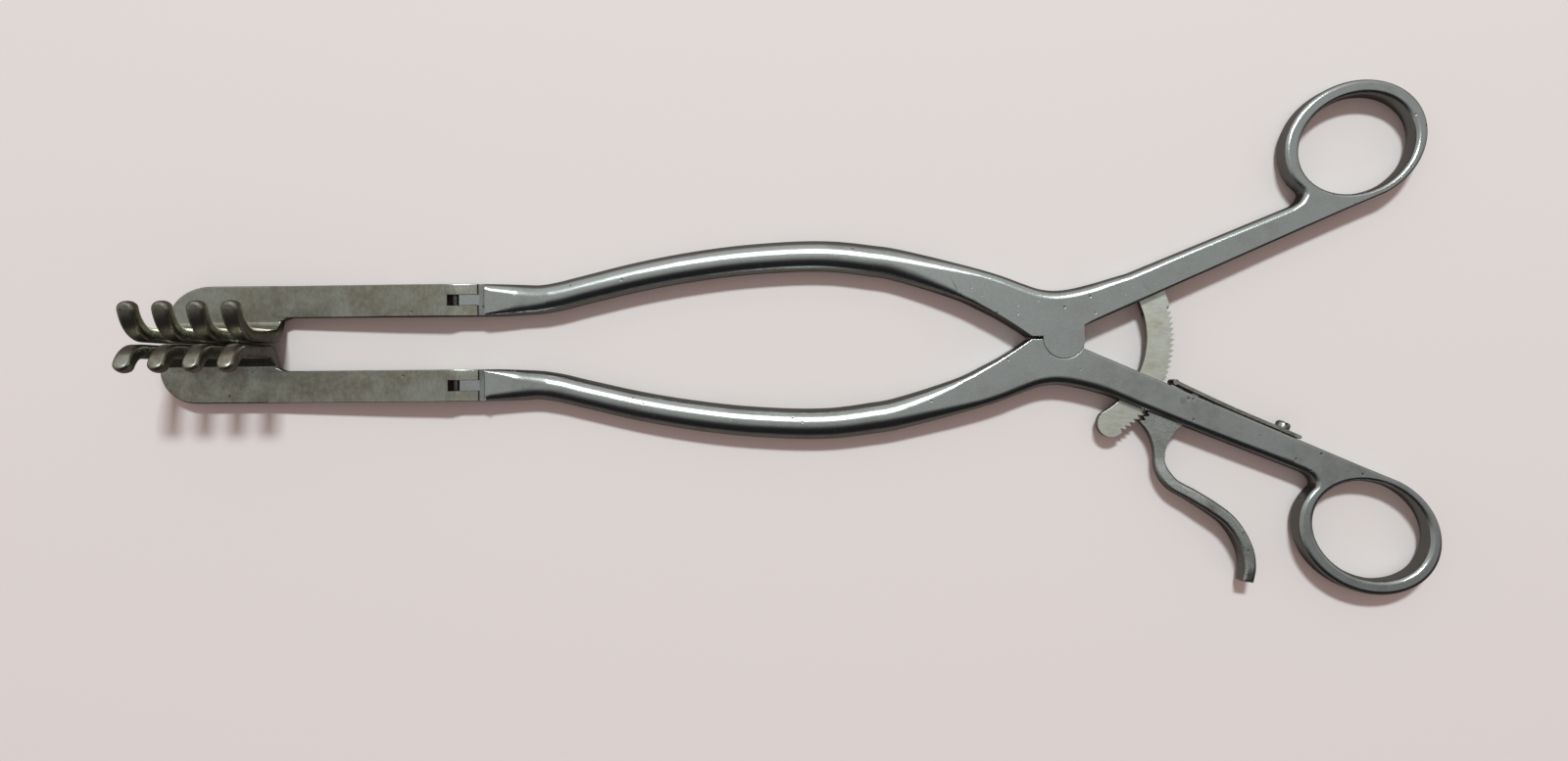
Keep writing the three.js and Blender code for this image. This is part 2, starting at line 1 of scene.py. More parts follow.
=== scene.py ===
"""Self-retaining ring-handled retractor: the finished look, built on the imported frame."""

import logging
import math
from dataclasses import dataclass
from enum import Enum
from typing import Callable, Mapping, Sequence

import bpy
import numpy as np
from mathutils import Matrix, Vector


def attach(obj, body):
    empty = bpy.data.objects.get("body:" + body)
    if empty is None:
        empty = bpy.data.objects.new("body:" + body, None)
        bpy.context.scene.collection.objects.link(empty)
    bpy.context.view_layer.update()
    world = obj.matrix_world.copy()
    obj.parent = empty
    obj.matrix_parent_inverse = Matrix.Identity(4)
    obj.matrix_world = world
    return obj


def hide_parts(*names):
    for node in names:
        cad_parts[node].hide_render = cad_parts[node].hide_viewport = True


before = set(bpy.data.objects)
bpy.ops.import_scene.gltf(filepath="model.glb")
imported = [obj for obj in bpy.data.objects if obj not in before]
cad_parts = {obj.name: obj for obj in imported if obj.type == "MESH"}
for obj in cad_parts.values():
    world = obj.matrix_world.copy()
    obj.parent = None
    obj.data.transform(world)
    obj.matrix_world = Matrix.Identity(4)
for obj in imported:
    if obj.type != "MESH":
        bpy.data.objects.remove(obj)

MM = 0.001
BEVEL_WEIGHT = "bevel_weight_edge"
SMOOTH_ANGLE = math.radians(24)
MERGE_DISTANCE = 0.001
FACE_WEIGHT = 90
CURVE_STEPS = 24
QUARTER = math.pi / 2
TOOTH_PITCH = math.radians(2.85)
TOOTH_DEPTH = 1.1

Point = tuple[float, float]
RoundedPoint = tuple[float, float, float]
Levels = Sequence[Point]
Colour = tuple[float, float, float, float]
Piece = bpy.types.Object
Tree = bpy.types.NodeTree
Node = bpy.types.Node
Socket = bpy.types.NodeSocket
Sockets = Mapping[str, Socket]

log = logging.getLogger("retractor")


class Side(Enum):
    """The two arms of the instrument, by the sign of their Y."""

    UPPER = 1
    LOWER = -1


class Cut(Enum):
    """What a tool body does to the piece that it is used on."""

    TAKE_AWAY = "DIFFERENCE"
    ADD = "UNION"


# Mesh making. Sizes are in millimetres until finish_piece brings the piece to metres.


def deselect() -> None:
    """Leave object mode with nothing selected."""
    if bpy.context.object and bpy.context.object.mode != "OBJECT":
        bpy.ops.object.mode_set(mode="OBJECT")
    bpy.ops.object.select_all(action="DESELECT")


def activate(piece: Piece) -> None:
    """Select one piece alone and make it the active one.

    Args:
        piece: The object that the next operators work on.
    """
    deselect()
    piece.select_set(True)
    bpy.context.view_layer.objects.active = piece


def edit(piece: Piece) -> None:
    """Open a piece in edit mode with everything selected.

    Args:
        piece: The object to open.
    """
    activate(piece)
    bpy.ops.object.mode_set(mode="EDIT")
    bpy.ops.mesh.select_mode(type="VERT")
    bpy.ops.mesh.select_all(action="SELECT")


def close(piece: Piece) -> None:
    """Turn all faces outwards and go back to object mode.

    Args:
        piece: The object that is open in edit mode.
    """
    bpy.ops.mesh.select_all(action="SELECT")
    bpy.ops.mesh.normals_make_consistent(inside=False)
    bpy.ops.object.mode_set(mode="OBJECT")
    piece.data.update()


def prism(corners: Sequence[Vector], rise: Vector) -> Piece:
    """Make a closed prism: a flat face through the corners, extruded along rise.

    Args:
        corners: The corners of the first face, in order.
        rise: How far and which way the face is extruded.

    Returns:
        The new object.
    """
    deselect()
    bpy.ops.mesh.primitive_circle_add(vertices=len(corners), radius=1, fill_type="NGON")
    piece = bpy.context.object
    for vertex, corner in zip(piece.data.vertices, corners):
        vertex.co = corner
    edit(piece)
    bpy.ops.mesh.extrude_region_move(TRANSFORM_OT_translate={"value": rise})
    close(piece)
    return piece


def plate(points: Sequence[Point], low: float, high: float) -> Piece:
    """Return an upright prism on a plan outline, from a low to a high level."""
    return prism([Vector((x, y, low)) for x, y in points], Vector((0, 0, high - low)))


def side_plate(points: Sequence[Point], near: float, far: float) -> Piece:
    """Return a prism on a side outline in x and z, from a near to a far Y."""
    return prism([Vector((x, near, z)) for x, z in points], Vector((0, far - near, 0)))


def rectangle(across: Point, along: Point) -> list[Point]:
    """Return a rectangle's corners, from where it starts and ends both ways."""
    (left, right), (low, high) = across, along
    return [(left, low), (right, low), (right, high), (left, high)]


def strip(left: Sequence[Point], right: Sequence[Point], low: float, high: float) -> Piece:
    """Make an upright band whose face is a row of four-sided faces.

    Args:
        left: Plan points of the band's left edge.
        right: Plan points of the right edge, as many.
        low: Height of the underside.
        high: Height of the face.

    Returns:
        The new object.
    """
    deselect()
    count = len(left)
    bpy.ops.mesh.primitive_grid_add(x_subdivisions=count - 1, y_subdivisions=1, size=2)
    piece = bpy.context.object
    for vertex in piece.data.vertices:
        at = round((vertex.co.x + 1) / 2 * (count - 1))
        x, y = left[at] if vertex.co.y > 0 else right[at]
        vertex.co = (x, y, low)
    edit(piece)
    bpy.ops.mesh.extrude_region_move(TRANSFORM_OT_translate={"value": (0, 0, high - low)})
    close(piece)
    return piece


def lathe(profile: Levels, place: Matrix, steps: int = 48) -> Piece:
    """Make a closed turned body from rings that are extruded and resized in turn.

    Args:
        profile: Radius and height of each ring, from the bottom up.
        place: Where the body goes; it may stretch the rings.
        steps: Sides of each ring.

    Returns:
        The new object.
    """
    deselect()
    radius, height = profile[0]
    bpy.ops.mesh.primitive_circle_add(
        vertices=steps, radius=radius, fill_type="NGON", location=(0, 0, height))
    piece = bpy.context.object
    edit(piece)
    for next_radius, next_height in profile[1:]:
        rise = (0, 0, next_height - height)
        bpy.ops.mesh.extrude_region_move(TRANSFORM_OT_translate={"value": rise})
        ratio = next_radius / radius
        bpy.ops.transform.resize(value=(ratio, ratio, 1), center_override=(0, 0, 0))
        radius, height = next_radius, next_height
    close(piece)
    settle(piece, place)
    return piece


def settle(piece: Piece, place: Matrix) -> None:
    """Move a piece and write its place into its mesh.

    Args:
        piece: The object to move.
        place: What its own place is multiplied with.
    """
    activate(piece)
    piece.matrix_world = place @ piece.matrix_world
    bpy.ops.object.transform_apply(location=True, rotation=True, scale=True)
    if place.determinant() < 0:
        edit(piece)
        close(piece)


def apply_modifiers(piece: Piece) -> None:
    """Apply every modifier of a piece, first to last.

    Args:
        piece: The object whose modifiers are applied.
    """
    activate(piece)
    for modifier in list(piece.modifiers):
        bpy.ops.object.modifier_apply(modifier=modifier.name)


def work(piece: Piece, tool: Piece, cut: Cut) -> None:
    """Cut a tool body out of a piece or join it on, and clear the tool away.

    Args:
        piece: The object that is changed.
        tool: The object that is used up.
        cut: Whether the tool takes away or adds.
    """
    modifier = piece.modifiers.new(cut.name, "BOOLEAN")
    modifier.operation = cut.value
    modifier.solver = "EXACT"
    modifier.object = tool
    apply_modifiers(piece)
    bpy.data.objects.remove(tool, do_unlink=True)


def drill(piece: Piece, place: Matrix, radius: float, reach: Point = (-1, 9),
          steps: int = 32) -> None:
    """Drill a round hole along a place's Z, as far as it reaches."""
    work(piece, lathe([(radius, level) for level in reach], place, steps), Cut.TAKE_AWAY)


def sideways(x: float, y: float, z: float) -> Matrix:
    """Return a place whose Z lies along the instrument's Y."""
    return Matrix.Translation((x, y, z)) @ Matrix.Rotation(QUARTER, 4, "X")


def split_at(piece: Piece, places: Sequence[float], normal: Vector) -> None:
    """Cut new edges right across a piece at several places.

    Args:
        piece: The object to split.
        places: How far along the normal each cut lies.
        normal: Which way the cutting planes face.
    """
    edit(piece)
    for place in places:
        bpy.ops.mesh.select_all(action="SELECT")
        bpy.ops.mesh.bisect(plane_co=normal * place, plane_no=normal)
    close(piece)


def weigh_edges(piece: Piece, share: Callable[[Vector, Vector], float]) -> None:
    """Give each edge its share of the bevel's width.

    Args:
        piece: The object whose edges are weighed.
        share: The share, 0 to 1, of the edge between two points.
    """
    mesh = piece.data
    layer = mesh.attributes.get(BEVEL_WEIGHT) or mesh.attributes.new(BEVEL_WEIGHT, "FLOAT", "EDGE")
    for edge in mesh.edges:
        a, b = (mesh.vertices[i].co for i in edge.vertices)
        layer.data[edge.index].value = share(a, b)


def round_edges(piece: Piece, width: float, segments: int, by_weight: bool = False,
                angle: float = 40) -> None:
    """Round a piece's edges.

    Args:
        piece: The object to round.
        width: How far the rounding reaches over each face.
        segments: Number of faces across the rounding.
        by_weight: Whether each edge has its own share of the width.
        angle: Least angle of the edges that are rounded, in degrees, if not by weight.
    """
    modifier = piece.modifiers.new("Rounding", "BEVEL")
    modifier.limit_method = "WEIGHT" if by_weight else "ANGLE"
    modifier.angle_limit = math.radians(angle)
    modifier.width = width
    modifier.segments = segments
    modifier.use_clamp_overlap = False
    modifier.miter_outer = "MITER_SHARP"
    apply_modifiers(piece)


def finish_piece(piece: Piece, name: str, body: str, nodes: Sequence[str],
                 material: bpy.types.Material) -> None:
    """Bring a piece to metres, smooth and dress it, and let it ride on its body.

    Args:
        piece: The finished shape, in millimetres.
        name: The name that the piece gets.
        body: The body that it moves with.
        nodes: The CAD nodes that it stands for.
        material: What it is made of.
    """
    edit(piece)
    bpy.ops.mesh.remove_doubles(threshold=MERGE_DISTANCE)
    bpy.ops.mesh.dissolve_degenerate(threshold=MERGE_DISTANCE)
    close(piece)
    settle(piece, Matrix.Diagonal((MM, MM, MM, 1)))
    piece.name = piece.data.name = name
    activate(piece)
    bpy.ops.object.shade_smooth_by_angle(angle=SMOOTH_ANGLE)
    modifier = piece.modifiers.new("Even faces", "WEIGHTED_NORMAL")
    modifier.keep_sharp = True
    modifier.weight = FACE_WEIGHT
    apply_modifiers(piece)
    piece.data.materials.clear()
    piece.data.materials.append(material)
    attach(piece, body)
    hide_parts(*nodes)
    faces = len(piece.data.polygons)
    log.info("%s: %d faces, stands for %s on %s", name, faces, ", ".join(nodes), body)


# Plan curves.


def blend(a: Vector, b: Vector, start: float, end: float, at: float) -> Vector:
    """Return the point that lies between a and b as at does between start and end."""
    return a * ((end - at) / (end - start)) + b * ((at - start) / (end - start))


def smooth_curve(points: Sequence[Point], step: float) -> list[Point]:
    """Draw an even-stepped smooth curve through control points.

    Args:
        points: The control points, in order.
        step: About how far apart the new points are.

    Returns:
        The points of the curve, both ends included.
    """
    known = [Vector(p) for p in points]
    known = [known[0] * 2 - known[1], *known, known[-1] * 2 - known[-2]]
    dense = []
    for group in zip(known, known[1:], known[2:], known[3:]):
        knots = [0.0]
        for a, b in zip(group, group[1:]):
            knots.append(knots[-1] + math.sqrt((b - a).length))
        for t in np.linspace(knots[1], knots[2], CURVE_STEPS, endpoint=False):
            row = list(group)
            for reach in (1, 2):
                row = [blend(a, b, knots[i], knots[i + reach], t)
                       for i, (a, b) in enumerate(zip(row, row[1:]))]
            dense.append(blend(*row, knots[1], knots[2], t))
    dense.append(Vector(points[-1]))
    lengths = np.cumsum([0.0] + [(b - a).length for a, b in zip(dense, dense[1:])])
    count = max(2, round(lengths[-1] / step)) + 1
    wanted = np.linspace(0, lengths[-1], count)
    xs = np.interp(wanted, lengths, [p.x for p in dense])
    ys = np.interp(wanted, lengths, [p.y for p in dense])
    return [(float(x), float(y)) for x, y in zip(xs, ys)]


def offsets(line: Sequence[Point], amount: Callable[[float], float]) -> list[Point]:
    """Move the points of a line to its left.

    Args:
        line: The points, in order.
        amount: How far, at each share of the line from 0 to 1.

    Returns:
        The moved points.
    """
    moved = []
    last = len(line) - 1
    for i, (x, y) in enumerate(line):
        before, after = Vector(line[max(0, i - 1)]), Vector(line[min(last, i + 1)])
        along = (after - before).normalized()
        reach = amount(i / last)
        moved.append((x - along.y * reach, y + along.x * reach))
    return moved


def polar(radius: float, angle: float) -> Point:
    """Return the plan point at a radius and an angle in radians about the joint."""
    return radius * math.cos(angle), radius * math.sin(angle)


def arc(centre: Point, radius: float, first: float, last: float, steps: int) -> list[Point]:
    """Return the points of an arc between two angles in radians, both ends included."""
    turns = np.linspace(first, last, steps + 1)
    return [(centre[0] + radius * math.cos(t), centre[1] + radius * math.sin(t)) for t in turns]


def fade(value: float, table: Levels) -> float:
    """Return the amount at a place, with straight lines between the places of the table."""
    return float(np.interp(value, [p for p, _ in table], [a for _, a in table]))


def plan_key(x: float, y: float) -> Point:
    """Return a plan place rounded so that equal places match."""
    return round(x, 3), round(y, 3)


@dataclass(frozen=True)
class HandleFrame:
    """Directions along a handle: s runs from the joint to the ring, n outwards from its inner edge."""

    side: Side
    angle: float = math.radians(23.4)

    def at(self, s: float, n: float) -> Point:
        """Return the plan point of s and n."""
        cos, sin = math.cos(self.angle), math.sin(self.angle)
        return s * cos - n * sin, self.side.value * (s * sin + n * cos)

    def matrix(self) -> Matrix:
        """Return the matrix from s, n and height to the instrument's frame."""
        turn = Matrix.Rotation(self.angle, 4, "Z")
        return Matrix.Diagonal((1, self.side.value, 1, 1)) @ turn


# Shader node groups and finishes.


class Shading:
    """A shader tree and the nodes that are added to it."""

    def __init__(self, tree: Tree) -> None:
        """Keep the tree."""
        self.tree = tree

    def feed(self, node: Node, sockets: dict) -> None:
        """Set or link inputs of a node.

        Args:
            node: The node.
            sockets: Input name or number, and its value or the output that feeds it.
        """
        for key, value in sockets.items():
            if isinstance(value, Socket):
                self.tree.links.new(value, node.inputs[key])
            else:
                node.inputs[key].default_value = value

    def add(self, kind: str, sockets: dict | None = None, **settings: object) -> Node:
        """Add a node.

        Args:
            kind: The node's type.
            sockets: What feeds its inputs, as in feed.
            **settings: Properties of the node.

        Returns:
            The node.
        """
        node = self.tree.nodes.new(kind)
        for key, value in settings.items():
            setattr(node, key, value)
        self.feed(node, sockets or {})
        return node

    def sums(self, operation: str, a: object, b: object, clamp: bool = False) -> Socket:
        """Return the result of a Math node, kept between 0 and 1 if clamped."""
        node = self.add("ShaderNodeMath", {0: a, 1: b}, operation=operation, use_clamp=clamp)
        return node.outputs[0]

    def times(self, a: object, b: object, clamp: bool = False) -> Socket:
        """Return a times b."""
        return self.sums("MULTIPLY", a, b, clamp)

    def plus(self, a: object, b: object, clamp: bool = False) -> Socket:
        """Return a plus b."""
        return self.sums("ADD", a, b, clamp)

    def minus(self, a: object, b: object) -> Socket:
        """Return a minus b."""
        return self.sums("SUBTRACT", a, b)

    def spread(self, value: Socket, low: float, high: float, to_low: float = 0.0,
               to_high: float = 1.0) -> Socket:
        """Return a value whose range from low to high is spread over another, with soft ends."""
        ends = {"From Min": low, "From Max": high, "To Min": to_low, "To Max": to_high}
        return self.add("ShaderNodeMapRange", {"Value": value, **ends},
                        interpolation_type="SMOOTHSTEP").outputs["Result"]

    def mixed(self, share: object, a: object, b: object) -> Socket:
        """Mix two colours.

        Args:
            share: How much of the second colour, 0 to 1.
            a: First colour.
            b: Second colour.

        Returns:
            The mixed colour's socket.
        """
        node = self.add("ShaderNodeMix", data_type="RGBA")
        wanted = {"Factor_Float": share, "A_Color": a, "B_Color": b}
        self.feed(node, {i: wanted[socket.identifier] for i, socket in enumerate(node.inputs)
                         if socket.identifier in wanted})
        return next(s for s in node.outputs if s.identifier == "Result_Color")

    def noise(self, vector: Socket, scale: object, detail: float,
              roughness: float = 0.5) -> Socket:
        """Return a noise pattern, read at a vector, with its finer octaves."""
        return self.add("ShaderNodeTexNoise", {"Vector": vector, "Scale": scale, "Detail": detail,
                                               "Roughness": roughness}).outputs["Fac"]


class Effect:
    """A shader node group that several finishes share, made once."""

    name = "Effect"
    values: Mapping[str, float] = {}
    results: Sequence[str] = ("Mask",)

    def group(self) -> Tree:
        """Return the node group, and build it the first time."""
        tree = bpy.data.node_groups.get(self.name)
        if tree is None:
            tree = bpy.data.node_groups.new(self.name, "ShaderNodeTree")
            new_socket = tree.interface.new_socket
            new_socket(name="Vector", in_out="INPUT", socket_type="NodeSocketVector")
            for name, value in self.values.items():
                socket = new_socket(name=name, in_out="INPUT", socket_type="NodeSocketFloat")
                socket.default_value = value
            for name in self.results:
                new_socket(name=name, in_out="OUTPUT", socket_type="NodeSocketFloat")
            shading = Shading(tree)
            given = shading.add("NodeGroupInput").outputs
            shading.add("NodeGroupOutput", self.build(shading, given))
        return tree

    def build(self, shading: Shading, given: Sockets) -> dict[str, Socket]:
        """Make the effect's nodes.

        Args:
            shading: The group's tree.
            given: The group's inputs.

        Returns:
            The socket that feeds each output, by name.
        """
        raise NotImplementedError

    def place(self, shading: Shading, vector: Socket, **values: float) -> Sockets:
        """Place the effect in a material and return its outputs; values go by input name."""
        return shading.add("ShaderNodeGroup", {"Vector": vector, **values},
                           node_tree=self.group()).outputs


class SatinGrain(Effect):
    """Fine blasted or brushed surface: short streaks along the pattern's X, and a fine speckle."""

    name = "Satin grain"
    values = {"Scale": 3000.0, "Streak": 1.0}
    results = ("Height", "Tone")

    def build(self, shading: Shading, given: Sockets) -> dict[str, Socket]:
        """Make the grain's nodes; Args and Returns as in Effect.build."""
        x, y, z = shading.add("ShaderNodeSeparateXYZ", {0: given["Vector"]}).outputs
        along = shading.sums("DIVIDE", x, given["Streak"])
        drawn = shading.add("ShaderNodeCombineXYZ", {0: along, 1: y, 2: z}).outputs[0]
        fine = shading.noise(drawn, given["Scale"], 3.0, 0.6)
        broad = shading.noise(drawn, shading.times(given["Scale"], 0.3), 2.0)
        height = shading.plus(shading.times(fine, 0.7), shading.times(broad, 0.3))
        return {"Height": height, "Tone": shading.spread(broad, 0.35, 0.65)}


class Tarnish(Effect):
    """Cloudy brown staining with soft borders and denser spots inside."""

    name = "Tarnish"
    values = {"Scale": 60.0, "Amount": 0.5}

    def build(self, shading: Shading, given: Sockets) -> dict[str, Socket]:
        """Make the staining's nodes; Args and Returns as in Effect.build."""
        cloud = shading.noise(given["Vector"], given["Scale"], 5.0, 0.62)
        level = shading.plus(cloud, shading.times(given["Amount"], 0.3))
        soft = shading.spread(level, 0.55, 0.82)
        finer = shading.noise(given["Vector"], shading.times(given["Scale"], 6.5), 4.0, 0.6)
        dense = shading.spread(finer, 0.3, 0.68, 0.45, 1.0)
        return {"Mask": shading.times(soft, dense, True)}


class Pits(Effect):
    """Small dark pits and specks, scattered in loose groups."""

    name = "Pits"
    values = {"Scale": 700.0, "Share": 0.3}

    def build(self, shading: Shading, given: Sockets) -> dict[str, Socket]:
        """Make the pits' nodes; Args and Returns as in Effect.build."""
        cells = shading.add("ShaderNodeTexVoronoi",
                            {"Vector": given["Vector"], "Scale": given["Scale"]}).outputs
        size = shading.add("ShaderNodeSeparateColor", {0: cells["Color"]}).outputs
        chosen = shading.sums("GREATER_THAN", given["Share"], size[0])
        reach = shading.plus(shading.times(size[1], 0.3), 0.08)
        near = shading.spread(shading.minus(reach, cells["Distance"]), 0.0, 0.12)
        return {"Mask": shading.times(near, chosen, True)}


class EdgeWear(Effect):
    """Where handling has polished the edges bright."""

    name = "Edge wear"
    values = {"Radius": 0.0003}

    def build(self, shading: Shading, given: Sockets) -> dict[str, Socket]:
        """Make the wear's nodes; Args and Returns as in Effect.build."""
        worn = shading.add("ShaderNodeBevel", {"Radius": given["Radius"]}, samples=4).outputs[0]
        plain = shading.add("ShaderNodeNewGeometry").outputs["Normal"]
        facing = shading.add("ShaderNodeVectorMath", {0: worn, 1: plain}, operation="DOT_PRODUCT")
        bent = shading.spread(shading.minus(1.0, facing.outputs["Value"]), 0.01, 0.12)
        broken = shading.noise(given["Vector"], 900.0, 2.0)
        patchy = shading.spread(broken, 0.3, 0.6, 0.5, 1.0)
        return {"Mask": shading.times(bent, patchy, True)}


@dataclass(frozen=True)
class SteelFinish:
    """A bare steel finish: its colours, gloss, grain, stains and wear."""

    name: str
    light: Colour
    dark: Colour
    roughness: float = 0.34
    streak: float = 1.0
    streak_turn: float = 0.0
    grain_scale: float = 8000.0
    grain_depth: float = 0.000022
    stain: Colour = (0.13, 0.10, 0.06, 1.0)
    stain_scale: float = 60.0
    stain_amount: float = 0.2
    stain_strength: float = 0.5
    pit: Colour = (0.05, 0.04, 0.035, 1.0)
    pit_scale: float = 500.0
    pit_share: float = 0.08
    polish: Colour = (0.82, 0.83, 0.82, 1.0)
    wear: float = 0.5

    def material(self) -> bpy.types.Material:
        """Return the material, and build it the first time."""
        made = bpy.data.materials.get(self.name)
        if made is None:
            made = bpy.data.materials.new(self.name)
            made.use_nodes = True
            self.dress(Shading(made.node_tree))
        return made

    def dress(self, shading: Shading) -> None:
        """Build the shader.

        Args:
            shading: The new material's tree.
        """
        place = shading.add("ShaderNodeTexCoord").outputs["Object"]
        turned = shading.add("ShaderNodeMapping", {"Vector": place,
                                                   "Rotation": (0.0, 0.0, self.streak_turn)}).outputs[0]
        grain = SatinGrain().place(shading, turned, Scale=self.grain_scale, Streak=self.streak)
        tarnish = Tarnish().place(shading, place, Scale=self.stain_scale, Amount=self.stain_amount)
        pits = Pits().place(shading, place, Scale=self.pit_scale, Share=self.pit_share)
        worn = EdgeWear().place(shading, place)
        stained = shading.times(tarnish["Mask"], self.stain_strength, True)
        polished = shading.times(worn["Mask"], self.wear, True)
        dotted = shading.times(pits["Mask"], 0.75)
        colour = shading.mixed(grain["Tone"], self.dark, self.light)
        for share, tint in ((stained, self.stain), (polished, self.polish), (dotted, self.pit)):
            colour = shading.mixed(share, colour, tint)
        rough = shading.plus(shading.times(grain["Height"], 0.12), self.roughness - 0.06)
        rough = shading.plus(rough, shading.times(stained, 0.18))
        rough = shading.minus(rough, shading.times(polished, 0.1))
        rough = shading.plus(rough, shading.times(dotted, 0.3), True)
        sunk = shading.minus(grain["Height"], shading.times(pits["Mask"], 1.2))
        bump = shading.add("ShaderNodeBump", {"Height": sunk, "Distance": self.grain_depth})
        shading.feed(shading.tree.nodes["Principled BSDF"],
                     {"Base Color": colour, "Metallic": 1.0, "Roughness": rough,
                      "Normal": bump.outputs["Normal"]})


ARM_STEEL = SteelFinish(
    "Arm satin steel", (0.53, 0.55, 0.54, 1.0), (0.49, 0.51, 0.50, 1.0), roughness=0.21,
    stain_scale=80.0, stain_amount=0.42, stain_strength=0.38, pit_scale=800.0, pit_share=0.06)
LEVER_STEEL = SteelFinish(
    "Lever polished steel", (0.60, 0.62, 0.60, 1.0), (0.46, 0.47, 0.45, 1.0), roughness=0.22,
    stain_scale=120.0, stain_amount=0.35, stain_strength=0.5, pit_scale=900.0)
BLADE_STEEL = SteelFinish(
    "Blade brushed steel", (0.45, 0.455, 0.395, 1.0), (0.39, 0.39, 0.335, 1.0), roughness=0.25,
    streak=2.5, streak_turn=math.pi / 2, grain_scale=6500.0, stain=(0.15, 0.105, 0.06, 1.0),
    stain_scale=110.0, stain_amount=0.72, stain_strength=0.68, pit_scale=900.0, pit_share=0.05)
RACK_STEEL = SteelFinish(
    "Rack ground steel", (0.68, 0.68, 0.61, 1.0), (0.62, 0.615, 0.55, 1.0), roughness=0.36,
    streak=4.0, grain_scale=5200.0, stain=(0.27, 0.19, 0.10, 1.0), stain_scale=110.0,
    stain_amount=0.35, stain_strength=0.6)
SPRING_STEEL = SteelFinish(
    "Leaf spring steel", (0.52, 0.52, 0.49, 1.0), (0.38, 0.36, 0.32, 1.0), roughness=0.24,
    streak=6.0, stain=(0.12, 0.07, 0.035, 1.0), stain_scale=150.0, stain_amount=0.6,
    stain_strength=0.7)
PIN_STEEL = SteelFinish(
    "Pin steel", (0.47, 0.47, 0.45, 1.0), (0.36, 0.35, 0.33, 1.0), roughness=0.27,
    stain_scale=200.0, stain_amount=0.3, stain_strength=0.5)


# The instrument's sub-assemblies.


@dataclass(frozen=True)
class Hinge:
    """The place and the hole of a blade's hinge pin, on the upper side."""

    x: float = -145.5
    y: float = 10.45
    z: float = 3.8
    hole: float = 1.03

    def drill(self, piece: Piece, side: Side, reach: float) -> None:
        """Drill the pin's hole, as far to both sides as it reaches."""
        place = sideways(self.x, side.value * self.y, self.z)
        drill(piece, place, self.hole, (-reach, reach))


